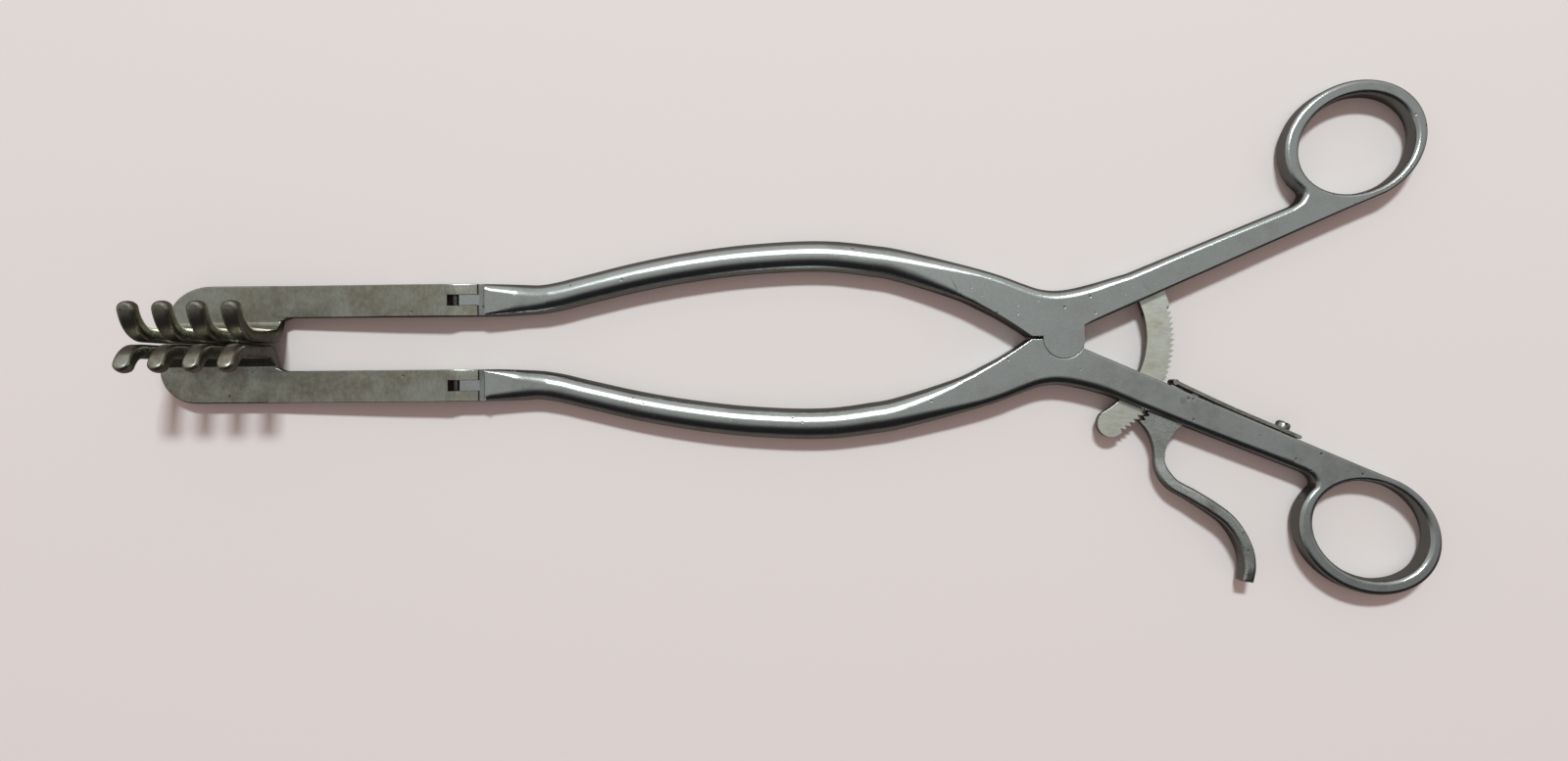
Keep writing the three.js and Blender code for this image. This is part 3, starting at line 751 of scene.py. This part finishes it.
@dataclass
class Arm:
    """A forged arm: hinge tongue, bowed bar, half of the lap joint, handle and finger ring."""

    side: Side
    body: str
    handle_root: Point
    handle_end: Point
    extra: float
    slot: tuple[Point, Point, Point]
    hole_radius: float
    bow_line: Sequence[Point] = (
        (-141.9, 10.45), (-133, 10.45), (-126, 10.7), (-118, 12.5), (-104, 15.8), (-90, 18.3),
        (-75, 20), (-57, 20.5), (-39.5, 18.3))
    bow_width: Levels = ((-141.9, 7.8), (-134.5, 7.7), (-129, 7.0), (-118, 6.9), (-90, 7.3), (-57, 7.5),
                         (-39.5, 7.7))
    inner_edge: Sequence[Point] = ((-24.6, 9.4), (-19.8, 7.15), (-15, 4.7), (-10.1, 1.7), (-8, 0.3))
    outer_edge: Sequence[Point] = (
        (-24, 18), (-15, 15.3), (-10, 13.4), (-5.5, 11.9), (-1.8, 11.5), (2, 11.9), (6.8, 13),
        (11.7, 14.4))
    inner_round: Levels = (
        (-141.9, 0.3), (-139, 0.9), (-132, 2.7), (-124, 3.35), (-90, 3.5), (-42, 3.65), (-34, 2.9),
        (-24, 1.3), (-15, 0.5), (-8, 0.25))
    outer_round: Levels = (
        (-141.9, 0.4), (-139.5, 2.0), (-131, 3.1), (-124, 3.35), (-90, 3.5), (-42, 3.65), (-34, 3.2),
        (-20, 2.15), (-2, 2.35), (7, 2.3), (13, 1.85), (28, 1.55), (42, 1.55), (56, 1.75))
    heights: Sequence[tuple[float, float, float]] = (
        (-141.9, 0.6, 7.2), (-133, 0.6, 7.2), (-126, 0.2, 7.8), (-38, 0.2, 7.8), (-26, 0, 8),
        (18, 0, 8), (56, 0.88, 7.12), (120, 0.88, 7.12))
    handle_inner: float = 0.57
    root_edge: Levels = ((5.48, 0.12), (7.5, 0.5), (12, 0.7))
    ring_edge: Levels = ((-20, 0.7), (-9, 0.5))
    ring_centre: Point = (84.8, 14.9)
    ring_outer: Point = (18.1, 14.5)
    ring_turns: Point = (-0.47 * math.pi, 1.12 * math.pi)
    ring_start: float = 0.4
    ring_round: float = 1.15
    hole_centre: Point = (84.8, 14.2)
    hole_size: Point = (14.7, 11.7)
    hole_rim: Point = (0.085, 1.36)
    fillet: Sequence[Point] = ((4.1, 2.6), (3.2, 1.3), (1.8, 0.35), (0, 0))
    fillet_round: float = 1.4
    widest: float = 3.65
    mid: float = 4.0
    top: float = 8.0
    lap_gap: float = 0.05
    recess: Point = (5.2, 5.44)
    recess_rim: float = 0.12
    lobe: Point = (5.1, 5.0)
    shoulder: Point = (4.8, 0.3)
    pin_hole: float = 2.03
    hinge: Hinge = Hinge()
    wedge: Sequence[Point] = ((-143, 6.4), (-141.9, 6.4), (-140.9, 7.25), (-140.9, 8.5), (-143, 8.5))
    lip: Sequence[Point] = ((-142.6, 6.15), (-140.8, 7.18), (-140.8, 5.0), (-141.95, 5.0))
    tongue_radius: float = 3.0
    tongue_height: float = 2.3
    tongue_half: float = 1.25

    def __post_init__(self) -> None:
        """Set up the handle's own directions."""
        self.handle = HandleFrame(self.side)
        self.up = self.side.value

    def edge_points(self) -> tuple[list[Point], list[Point]]:
        """Return the inner and outer edges from the hinge to the joint, for the upper side."""
        line = smooth_curve(self.bow_line, 1.2)
        half = [fade(x, self.bow_width) / 2 for x, _ in line]
        last = len(line) - 1
        inner = offsets(line, lambda t: -half[round(t * last)])
        outer = offsets(line, lambda t: half[round(t * last)])
        inner = [*inner[:-2:4], *self.inner_edge]
        outer = [*outer[:-2:4], *self.outer_edge]
        return smooth_curve(inner, 1.1), smooth_curve(outer, 1.1)

    def outline(self) -> list[RoundedPoint]:
        """Return the plan outline with the rounding that each point has."""
        inner, outer = self.edge_points()
        rounded = [(x, self.up * y, fade(x, self.inner_round)) for x, y in inner]
        rounded.append((self.shoulder[0], self.up * self.shoulder[1], self.root_edge[0][1]))
        centre = Vector((self.ring_centre[0] + self.extra, self.ring_centre[1]))
        edge = [*self.root_edge, *((self.ring_centre[0] + self.extra + s, r) for s, r in self.ring_edge)]
        rounded += [(*self.handle.at(s, self.handle_inner), width) for s, width in edge]
        first, last = self.ring_turns
        for turn in np.linspace(first, last, 66):
            s = centre.x + self.ring_outer[0] * math.cos(turn)
            n = centre.y + self.ring_outer[1] * math.sin(turn)
            width = fade(turn - first, ((0, self.ring_start), (0.9, self.ring_round)))
            rounded.append((*self.handle.at(s, n), width))
        s_end, n_end = self.handle_end
        fillet = smooth_curve([(s_end + s, n_end + n) for s, n in self.fillet], 0.45)
        rounded += [(*self.handle.at(*p), self.fillet_round) for p in fillet if self.clear_of_ring(*p)]
        root, end = Vector(self.handle_root), Vector(self.handle_end)
        for share in np.linspace(0, 1, 14)[1:]:
            x, y = self.handle.at(*end.lerp(root, share))
            rounded.append((x, y, fade(x, self.outer_round)))
        rounded += [(x, self.up * y, fade(x, self.outer_round)) for x, y in reversed(outer)]
        return rounded

    def clear_of_ring(self, s: float, n: float) -> bool:
        """Tell whether a point lies outside the ring's outer edge."""
        ds = (s - self.ring_centre[0] - self.extra) / self.ring_outer[0]
        dn = (n - self.ring_centre[1]) / self.ring_outer[1]
        return ds * ds + dn * dn > 1.02

    def forging(self) -> Piece:
        """Return the whole arm's blank with its rounded edges and its changing height."""
        outline = self.outline()
        piece = plate([(x, y) for x, y, _ in outline], 0, self.top)
        widths = {plan_key(x, y): width for x, y, width in outline}

        def share(a: Vector, b: Vector) -> float:
            """Return an outline edge's share of the widest rounding."""
            if abs(a.z - b.z) > 1:
                return 0.0
            ends = [widths.get(plan_key(p.x, p.y), 0.1) for p in (a, b)]
            return sum(ends) / 2 / self.widest

        weigh_edges(piece, share)
        split_at(piece, [x for x, _, _ in self.heights[1:-1]], Vector((1, 0, 0)))
        under = [(x, low) for x, low, _ in self.heights]
        face = [(x, high) for x, _, high in self.heights]
        for vertex in piece.data.vertices:
            vertex.co.z = fade(vertex.co.x, face if vertex.co.z > self.mid else under)
        round_edges(piece, self.widest, 7, by_weight=True)
        return piece

    def ring_hole(self) -> Piece:
        """Return the tool that opens the finger ring and rounds its rim."""
        low = self.heights[-1][1]
        flare, depth = self.hole_rim
        profile = [(1.0 + flare, low - 1), (1.0 + flare, low)]
        profile += [(1.0 + flare * (1 - math.sin(t)), low + depth * (1 - math.cos(t)))
                    for t in np.linspace(0, QUARTER, 6)[1:]]
        profile += [(0.985, self.mid)]
        mirrored = [(r, 2 * self.mid - z) for r, z in reversed(profile[:-1])]
        centre = Matrix.Translation((self.hole_centre[0] + self.extra, self.hole_centre[1], 0))
        size = Matrix.Diagonal((*self.hole_size, 1, 1))
        return lathe([*profile, *mirrored], self.handle.matrix() @ centre @ size, 72)

    def lap_joint(self, piece: Piece) -> None:
        """Cut the recess for the other arm's lobe and add this arm's own lobe.

        Args:
            piece: The arm.
        """
        upright = Matrix.Identity(4)
        level = self.mid + self.lap_gap * self.up
        low, high = sorted((level, self.mid - 5 * self.up))
        inside, mouth = self.recess
        recess = [(inside, low), (inside, high)]
        face = self.top
        lobe = [(self.lobe[0], level), (self.lobe[0], face - 0.1), (self.lobe[1], face)]
        if self.side is Side.LOWER:
            recess = [(inside, low), (inside, self.top - self.recess_rim), (mouth, self.top), (mouth, high)]
            face = 0.0
            lobe = [(self.lobe[1], face), (self.lobe[0], face + 0.1), (self.lobe[0], level)]
        work(piece, lathe(recess, upright, 96), Cut.TAKE_AWAY)
        work(piece, lathe(lobe, upright, 96), Cut.ADD)
        shoulder = rectangle((0, self.shoulder[0]), (self.up * -1.6, self.up * 3))
        work(piece, plate(shoulder, *sorted((face, level))), Cut.ADD)
        drill(piece, upright, self.pin_hole, steps=64)

    def hinge_end(self, piece: Piece) -> None:
        """Add the hinge tongue and slant the shoulder behind it.

        Args:
            piece: The arm.
        """
        turn = math.asin(self.tongue_height / self.tongue_radius)
        pin = (self.hinge.x, self.hinge.z)
        rounded_end = arc(pin, self.tongue_radius, math.pi - turn, math.pi + turn, 14)
        tongue = [*rounded_end, (-141, 1.5), (-141, 6.1)]
        centre = self.up * self.hinge.y
        for outline, half, cut in ((self.wedge, 5, Cut.TAKE_AWAY), (self.lip, 3.75, Cut.ADD),
                                   (tongue, self.tongue_half, Cut.ADD)):
            work(piece, side_plate(outline, centre - half, centre + half), cut)
        self.hinge.drill(piece, self.side, 3)

    def handle_block(self, s: Point, n: Point, z: Point) -> Piece:
        """Return a box along the handle, from where it starts and ends each way."""
        return plate([self.handle.at(*corner) for corner in rectangle(s, n)], *z)

    def holes(self) -> list[Point]:
        """Return the plan places of the pin holes that only this arm has."""
        raise NotImplementedError

    def make(self) -> None:
        """Model the arm with its slot and its pin holes, and dress it."""
        piece = self.forging()
        work(piece, self.ring_hole(), Cut.TAKE_AWAY)
        self.lap_joint(piece)
        self.hinge_end(piece)
        work(piece, self.handle_block(*self.slot), Cut.TAKE_AWAY)
        for place in self.holes():
            drill(piece, Matrix.Translation((*place, 0)), self.hole_radius)
        finish_piece(piece, f"{self.body}_forging", self.body, [self.body],
                     ARM_STEEL.material())


@dataclass
class UpperArm(Arm):
    """The arm that carries the ratchet rack in its slot."""

    side: Side = Side.UPPER
    body: str = "upper_arm"
    handle_root: Point = (21.4, 7.9)
    handle_end: Point = (64.5, 6.8)
    extra: float = 0.0
    slot: tuple[Point, Point, Point] = ((20.4, 28.2), (-1, 4.3), (2.5, 5.5))
    hole_radius: float = 0.77
    rivets: Sequence[Point] = ((22.7, 2.4), (26, 2.4))

    def holes(self) -> list[Point]:
        """Return the plan places of the rack's rivets."""
        return [self.handle.at(s, n) for s, n in self.rivets]


@dataclass
class LowerArm(Arm):
    """The arm that carries the release lever in its slot, and the leaf spring."""

    side: Side = Side.LOWER
    body: str = "lower_arm"
    handle_root: Point = (21.4, 8.6)
    handle_end: Point = (67.4, 7.4)
    extra: float = 2.9
    slot: tuple[Point, Point, Point] = ((16.4, 39.7), (-2, 12), (2.4, 5.6))
    hole_radius: float = 0.97
    lever_pin: Point = (28.7, -15.7)

    def holes(self) -> list[Point]:
        """Return the plan place of the lever's pin."""
        return [self.lever_pin]


@dataclass
class Rack:
    """The toothed arc plate in the upper handle."""

    inner: float = 20.9
    tip: float = 27.6
    depth: float = TOOTH_DEPTH
    pitch: float = TOOTH_PITCH
    first: float = math.radians(13.6)
    teeth: int = 26
    crest_lag: float = 0.16
    seat: float = 3.4
    low: float = 2.7
    high: float = 5.3
    rim: float = 0.05

    def outline(self) -> list[Point]:
        """Return the rack's plan outline."""
        handle = HandleFrame(Side.UPPER)
        end = self.first - self.pitch * self.teeth
        radius = (self.tip - self.inner) / 2
        points = [handle.at(self.inner + 0.3, self.seat), handle.at(self.tip - 0.2, self.seat),
                  handle.at(self.tip + 0.1, 0.07)]
        points += arc((0, 0), self.tip, self.first + self.pitch * 3, self.first + self.pitch, 3)
        for i in range(self.teeth):
            angle = self.first - self.pitch * i
            points += [polar(self.tip - self.depth, angle),
                       polar(self.tip, angle - self.crest_lag * self.pitch)]
        points += arc(polar(self.inner + radius, end), radius, end, end - math.pi, 24)
        points += arc((0, 0), self.inner, end, handle.angle - 0.03, 72)[1:]
        return points

    def make(self) -> None:
        """Model the rack and dress it."""
        piece = plate(self.outline(), self.low, self.high)
        weigh_edges(piece, lambda a, b: 1.0 if abs(a.z - b.z) < 1 else 0.0)
        round_edges(piece, self.rim, 2, by_weight=True)
        finish_piece(piece, "ratchet_rack_plate", "upper_arm", ["ratchet_rack"],
                     RACK_STEEL.material())


@dataclass
class ReleaseLever:
    """The pawl and the finger trigger, forged in one."""

    line: Sequence[Point] = (
        (24.0, -26.2), (23.8, -28.5), (24, -31.8), (26.6, -35.9), (31.5, -38.9), (36.2, -41.9),
        (40.2, -45), (42.9, -48.6), (44.8, -53), (45.2, -56.6), (44.7, -60.2))
    widths: Levels = ((0, 2.6), (0.08, 2.5), (0.2, 3.0), (0.5, 3.15), (0.85, 3.0), (1, 2.9))
    half_heights: Levels = ((0, 1.3), (0.09, 1.3), (0.16, 1.7), (0.45, 3.1), (0.93, 3.1), (1, 2.7))
    rounds: Levels = ((0, 0.15), (0.08, 0.3), (0.2, 0.9), (0.35, 1.05), (1, 0.9))
    mid: float = 4.0
    head_half: float = 1.3
    pawl_radius: float = 27.75
    tooth_depth: float = TOOTH_DEPTH
    pitch: float = TOOTH_PITCH
    first: float = math.radians(-47.5)
    teeth: int = 3
    pin: Point = (28.7, -15.7)
    pin_hole: float = 1.0

    def head(self) -> Piece:
        """Return the pawl head."""
        handle = HandleFrame(Side.LOWER)
        points = []
        for i in range(self.teeth):
            angle = self.first + self.pitch * i
            points += [polar(self.pawl_radius, angle),
                       polar(self.pawl_radius + self.tooth_depth, angle + 0.9 * self.pitch)]
        points += [polar(self.pawl_radius + 0.4, self.first + self.pitch * self.teeth),
                   polar(self.pawl_radius + 0.4, -0.55)]
        points += [handle.at(29.6, 1.1), handle.at(33.5, 0.9), handle.at(35, 0),
                   handle.at(36.4, 0.1), handle.at(37, 3.4)]
        points += smooth_curve([handle.at(35.7, 8), (27.9, -22.8), (26.7, -24.5), (25.5, -26.6),
                                (25.05, -28.5), (25.05, -29.5)], 0.5)
        points += smooth_curve([(22.55, -29.5), (22.5, -28), (22.0, -25.6), (21.2, -23.6),
                                (20.2, -22.1)], 0.5)
        head = plate(points, self.mid - self.head_half, self.mid + self.head_half)
        round_edges(head, 0.05, 1)
        return head

    def trigger(self) -> Piece:
        """Return the finger trigger: a curved band that swells, with rounded rims."""
        line = smooth_curve(self.line, 0.7)
        left = offsets(line, lambda t: fade(t, self.widths) / 2)
        right = offsets(line, lambda t: -fade(t, self.widths) / 2)
        band = strip(left, right, self.mid - 1, self.mid + 1)
        last = len(line) - 1
        shares = {plan_key(*p): i / last for edge in (left, right) for i, p in enumerate(edge)}
        for vertex in band.data.vertices:
            half = fade(shares[plan_key(vertex.co.x, vertex.co.y)], self.half_heights)
            vertex.co.z = self.mid + math.copysign(half, vertex.co.z - self.mid)
        widest = max(width for _, width in self.rounds)

        def rounding(a: Vector, b: Vector) -> float:
            """Return the share of an edge that runs along the trigger or across its tip."""
            start, end = (shares[plan_key(p.x, p.y)] for p in (a, b))
            if (a.z > self.mid) != (b.z > self.mid) or start == end != 1:
                return 0.0
            return fade((start + end) / 2, self.rounds) / widest

        weigh_edges(band, rounding)
        round_edges(band, widest, 6, by_weight=True)
        return band

    def make(self) -> None:
        """Model the head and the trigger, join them and dress the lever."""
        piece = self.head()
        work(piece, self.trigger(), Cut.ADD)
        drill(piece, Matrix.Translation((*self.pin, 0)), self.pin_hole)
        finish_piece(piece, "release_lever_trigger", "release_lever",
                     ["release_lever"], LEVER_STEEL.material())


@dataclass
class LeafSpring:
    """The flat spring on the lower handle's inner edge, with its slotted screw."""

    line: Sequence[Point] = ((29.7, -0.8), (32.5, -0.64), (36, -0.5), (41, -0.3), (46, -0.17),
                             (52, -0.15), (62.8, -0.15))
    thickness: float = 0.9
    roll: float = 0.72
    roll_place: Point = (29.75, -0.74)
    roll_rim: float = 0.2
    low: float = 1.5
    high: float = 6.5
    screw_place: float = 58.7
    shank: float = 0.8
    head_radius: float = 1.8
    head_round: float = 0.8
    seat: float = -0.75
    head_height: float = 1.6
    slot_width: float = 0.7
    slot_depth: float = 0.8
    mid: float = 4.0
    handle: HandleFrame = HandleFrame(Side.LOWER)

    def make(self) -> None:
        """Model the spring and its screw, and dress both."""
        self.make_spring()
        self.make_screw()

    def make_spring(self) -> None:
        """Model the strip with its rolled free end, and dress it."""
        line = smooth_curve(self.line, 0.8)
        half = self.thickness / 2
        near = offsets(line, lambda t: half)
        far = offsets(line, lambda t: -half)
        tail = arc(line[-1], half, QUARTER, -QUARTER, 6)
        outline = [*near, *tail[1:-1], *reversed(far)]
        piece = plate([self.handle.at(s, n) for s, n in outline], self.low, self.high)
        round_edges(piece, 0.14, 2, angle=60)
        slim = self.roll - self.roll_rim
        profile = [(slim, self.low), (self.roll, self.low + self.roll_rim),
                   (self.roll, self.high - self.roll_rim), (slim, self.high)]
        there = Matrix.Translation((*self.handle.at(*self.roll_place), 0))
        work(piece, lathe(profile, there, 24), Cut.ADD)
        finish_piece(piece, "leaf_spring_strip", "leaf_spring", ["leaf_spring"],
                     SPRING_STEEL.material())

    def make_screw(self) -> None:
        """Model the cheese-head screw with its slot, and dress it."""
        radius, top = self.head_radius, self.head_height
        profile = [(self.shank, -4.3), (self.shank, 0.0), (radius - 0.1, 0.0), (radius, 0.1)]
        profile += [(radius - self.head_round * (1 - math.cos(t)), top - self.head_round * (1 - math.sin(t)))
                    for t in np.linspace(0, QUARTER, 5)]
        place = self.handle.matrix() @ sideways(self.screw_place, self.seat, self.mid)
        piece = lathe(profile, place, 40)
        half = self.slot_width / 2
        face = self.seat - top
        corners = rectangle((self.screw_place - half, self.screw_place + half),
                            (face - 1, face + self.slot_depth))
        work(piece, plate([self.handle.at(s, n) for s, n in corners], 0, 8), Cut.TAKE_AWAY)
        finish_piece(piece, "spring_screw_slotted", "lower_arm", ["spring_screw"],
                     PIN_STEEL.material())


@dataclass
class Blade:
    """A hinged blade: fork, bar, paddle and a comb of four blunt prongs, in one piece."""

    side: Side
    name: str
    extra: float
    left: float
    corner: Point
    curl: float
    curl_turn: float
    hinge: Hinge = Hinge()
    swing: float = 3.4
    fork_gap: float = 1.4
    width: float = 7.8
    seam: float = 0.25
    bend: float = 5.3
    crest: float = 28.8
    under: float = 2.0
    thickness: float = 2.5
    prong_thickness: float = 3.3
    right: float = -191.3
    outer: float = 14.4
    first_prong: float = -193.4
    pitch: float = 7.85
    prong: float = 4.2
    prongs: int = 4
    gap_bottom: float = 10.0
    rim: float = 0.95

    def __post_init__(self) -> None:
        """Work out the lengths of the comb along its bent sheet."""
        self.up = self.side.value
        self.bend_length = self.bend * math.pi / 2
        self.curl_level = self.crest - self.curl * math.sin(self.curl_turn)
        self.wall_length = self.curl_level - self.under - self.bend
        self.curl_length = self.curl * self.curl_turn
        self.tip = self.bend_length + self.wall_length + self.curl_length
        self.gap = self.bend_length + self.gap_bottom - self.under - self.bend

    def flat_pattern(self) -> list[Point]:
        """Return the outline of paddle and comb before bending, in x and u."""
        far = self.seam + self.bend - self.outer
        corner_x, corner_u = self.corner
        right, left = self.right - self.extra, self.left
        points = [(right + 2, -1.0), (right + 2, far)]
        points += [(left + corner_x * (1 - math.cos(t)), far + corner_u * (1 - math.sin(t)))
                   for t in np.linspace(math.pi / 2, 0, 14)[:-1]]
        last = self.first_prong - self.extra - self.pitch * (self.prongs - 1)
        edge = last - self.prong / 2
        points += smooth_curve([(left, -0.5), (left + 0.4, 3.0), (edge + 0.25, 6.0), (edge, 9.0)], 0.8)
        half = self.prong / 2
        gap_half = (self.pitch - self.prong) / 2
        for i in range(self.prongs):
            centre = last + self.pitch * i
            tip = [(centre + half * math.cos(t), self.tip - half + half * math.sin(t))
                   for t in np.linspace(math.pi, 0, 11)]
            points += [(centre - half, self.tip - half - 6)] if i else []
            points += tip
            if i < self.prongs - 1:
                bottom = centre + self.pitch / 2
                points += [(bottom + gap_half * math.cos(t), self.gap + gap_half * (1 + math.sin(t)))
                           for t in np.linspace(math.pi, 2 * math.pi, 11)]
        flank = last + self.pitch * (self.prongs - 1) + half
        points += smooth_curve([(flank, self.tip - half - 5), (flank, self.gap + 5),
                                (flank - 0.1, self.gap), (right - 0.5, 5.0), (right - 0.5, 1.5),
                                (right - 0.3, -0.2)], 0.8)
        return points

    def bent(self, place: Vector) -> Vector:
        """Return where a point of the flat sheet goes when paddle and comb are bent.

        Args:
            place: The point: x, u along the sheet, and its depth from the outer face.

        Returns:
            The point on the finished blade.
        """
        x, u, depth = place
        depth *= fade(u, ((0.0, 1.0), (4.0, self.prong_thickness / self.thickness)))
        middle = self.seam + self.bend
        if u <= 0:
            y, z = middle - u, self.under + depth
        elif u <= self.bend_length:
            turn = u / self.bend
            radius = self.bend - depth
            y = middle - radius * math.sin(turn)
            z = self.under + self.bend - radius * math.cos(turn)
        elif u <= self.bend_length + self.wall_length:
            y, z = self.seam + depth, self.under + self.bend + u - self.bend_length
        else:
            turn = (u - self.bend_length - self.wall_length) / self.curl
            radius = self.curl - depth
            y = self.seam + self.curl - radius * math.cos(turn)
            z = self.curl_level + radius * math.sin(turn)
        return Vector((x, self.up * y, z))

    def sheet(self) -> Piece:
        """Return the paddle and comb: a flat blank with rounded rims, then bent."""
        piece = plate(self.flat_pattern(), 0, self.thickness)
        weigh_edges(piece, self.rim_share)
        round_edges(piece, self.rim, 4, by_weight=True)
        top = self.bend_length + self.wall_length
        levels = [*np.linspace(0, self.bend_length, 10), *np.linspace(self.bend_length, top, 4)[1:],
                  *np.linspace(top, self.tip, 16)[1:-1]]
        split_at(piece, levels, Vector((0, 1, 0)))
        for vertex in piece.data.vertices:
            vertex.co = self.bent(vertex.co)
        edit(piece)
        close(piece)
        return piece

    def rim_share(self, a: Vector, b: Vector) -> float:
        """Return the share of the rim's rounding that an edge of the flat blank gets."""
        if abs(a.z - b.z) > 1:
            return 0.0
        return fade((a.y + b.y) / 2, ((0.0, 0.4), (self.gap - 1, 0.6), (self.gap + 4, 1.0)))

    def bar(self) -> Piece:
        """Return the bar with its forked hinge end."""
        hinge = self.hinge
        top = math.asin((6.1 - hinge.z) / self.swing)
        shift = self.right - self.extra
        points = [(shift - 3, 2.0), (-156.7, 1.2), (-142.1, 1.4), (-142.1, hinge.z)]
        points += arc((hinge.x, hinge.z), self.swing, 0, top, 6)[1:]
        points += [(-148.3, 6.1), (-150.7, 7.2), (-165, 6.55), (shift + 4, 5.0), (shift - 3, 4.5)]
        centre = self.up * hinge.y
        piece = side_plate(points, centre - self.width / 2, centre + self.width / 2)
        round_edges(piece, 0.22, 3, angle=60)
        fork = rectangle((-150.2, -141), (centre - self.fork_gap, centre + self.fork_gap))
        work(piece, plate(fork, -1, 9), Cut.TAKE_AWAY)
        hinge.drill(piece, self.side, 6)
        return piece

    def make(self) -> None:
        """Model the blade and dress it."""
        piece = self.bar()
        work(piece, self.sheet(), Cut.ADD)
        finish_piece(piece, f"{self.name}_rake", self.name, [self.name],
                     BLADE_STEEL.material())


@dataclass
class Pins:
    """The plain pins and rivets, whose CAD solids are kept and dressed."""

    nodes: Sequence[str] = ("joint_pin", "lever_pin", "rack_rivet_1", "rack_rivet_2",
                            "upper_hinge_pin", "lower_hinge_pin")
    flush: Sequence[str] = ("joint_pin", "rack_rivet_1", "rack_rivet_2")

    def make(self) -> None:
        """Dress each pin in its steel."""
        for name in self.nodes:
            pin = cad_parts[name]
            finish = ARM_STEEL if name in self.flush else PIN_STEEL
            if not pin.material_slots:
                pin.data.materials.append(finish.material())
            for place in pin.material_slots:
                place.material = finish.material()
            log.info("%s: CAD solid kept, dressed in %s", name, finish.name)


@dataclass
class Studio:
    """The floor, the soft lights, the surroundings and the camera."""

    floor_size: float = 4.0
    floor_level: float = -0.0002
    floor_colour: Colour = (0.79, 0.765, 0.755, 1.0)
    # Painted dark reflection: the floor colour that glossy rays from the steel see.
    floor_painted_dark_in_reflections: Colour = (0.16, 0.14, 0.13, 1.0)
    zenith: Colour = (0.40, 0.405, 0.395, 1.0)
    bright: Colour = (0.62, 0.62, 0.61, 1.0)
    shade: Colour = (0.02, 0.018, 0.02, 1.0)
    ambient: Colour = (0.40, 0.30, 0.28, 1.0)
    bright_side: tuple[float, float, float] = (-0.25, 0.97, 0.0)
    key_place: tuple[float, float, float] = (-0.04, 1.02, 1.73)
    key_length: float = 0.32
    key_size: float = 0.16
    key_power: float = 27.0
    key_colour: tuple[float, float, float] = (0.90, 0.98, 0.99)
    camera_place: tuple[float, float, float] = (-0.0682, -0.0099, 0.294)
    camera_roll: float = math.radians(-0.49)
    lens: float = 27.05

    def make(self) -> None:
        """Build the whole studio."""
        self.make_floor()
        self.make_world()
        self.make_lights()
        self.make_camera()
        bpy.context.scene.view_settings.view_transform = "Standard"

    def make_floor(self) -> None:
        """Lay the pale floor; in the steel's reflections it takes a painted dark colour."""
        deselect()
        bpy.ops.mesh.primitive_plane_add(size=self.floor_size, location=(0, 0, self.floor_level))
        floor = bpy.context.object
        floor.name = "Floor"
        paper = bpy.data.materials.new("Pale floor")
        paper.use_nodes = True
        shading = Shading(paper.node_tree)
        # Glossy rays see a painted dark floor colour, so the steel carries a painted dark reflection; camera
        # and diffuse rays see the pale floor.
        mirrored = shading.add("ShaderNodeLightPath").outputs["Is Glossy Ray"]
        colour = shading.mixed(mirrored, self.floor_colour, self.floor_painted_dark_in_reflections)
        shading.feed(paper.node_tree.nodes["Principled BSDF"],
                     {"Base Color": colour, "Roughness": 0.8, "Specular IOR Level": 0.2})
        floor.data.materials.append(paper)

    def make_world(self) -> None:
        """Surround the scene with a soft room: bright to one side, dark to the other, grey overhead."""
        world = bpy.data.worlds.new("Soft room")
        world.use_nodes = True
        bpy.context.scene.world = world
        shading = Shading(world.node_tree)
        place = shading.add("ShaderNodeTexCoord").outputs["Generated"]
        towards = shading.add("ShaderNodeVectorMath", {0: place, 1: self.bright_side},
                              operation="DOT_PRODUCT").outputs["Value"]
        colour = shading.mixed(shading.spread(towards, 0.3, 0.7), self.zenith, self.bright)
        colour = shading.mixed(shading.spread(towards, -0.08, -0.55), colour, self.shade)
        on_floor = shading.add("ShaderNodeLightPath").outputs["Is Diffuse Ray"]
        colour = shading.mixed(on_floor, colour, self.ambient)
        shading.feed(world.node_tree.nodes["Background"], {"Color": colour})

    def make_lights(self) -> None:
        """Hang the key light high over the +Y side."""
        bpy.ops.object.light_add(type="AREA", location=self.key_place)
        light = bpy.context.object
        light.name = "Key light"
        light.data.shape = "RECTANGLE"
        light.data.size = self.key_length
        light.data.size_y = self.key_size
        light.data.energy = self.key_power
        light.data.color = self.key_colour
        towards = Vector((-0.05, 0, 0)) - Vector(self.key_place)
        light.rotation_euler = towards.to_track_quat("-Z", "Y").to_euler()

    def make_camera(self) -> None:
        """Look straight down at the instrument."""
        bpy.ops.object.camera_add(location=self.camera_place, rotation=(0, 0, self.camera_roll))
        camera = bpy.context.object
        camera.data.lens = self.lens
        camera.data.clip_start = 0.01
        bpy.context.scene.camera = camera


def main() -> None:
    """Build the studio and every piece."""
    logging.basicConfig(level=logging.INFO, format="%(name)s: %(message)s")
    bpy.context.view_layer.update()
    parts = (Studio(), UpperArm(), LowerArm(), Rack(), ReleaseLever(), LeafSpring(),
             Blade(Side.UPPER, "upper_blade", extra=0.0, left=-219.4, corner=(10.5, 8.4), curl=10.0,
                   curl_turn=math.radians(84.5)),
             Blade(Side.LOWER, "lower_blade", extra=1.2, left=-221.6, corner=(9.0, 8.4), curl=8.5,
                   curl_turn=math.radians(73.5)),
             Pins())
    for part in parts:
        part.make()
        log.info("%s is done", type(part).__name__)
    deselect()


if __name__ == "__main__":
    main()
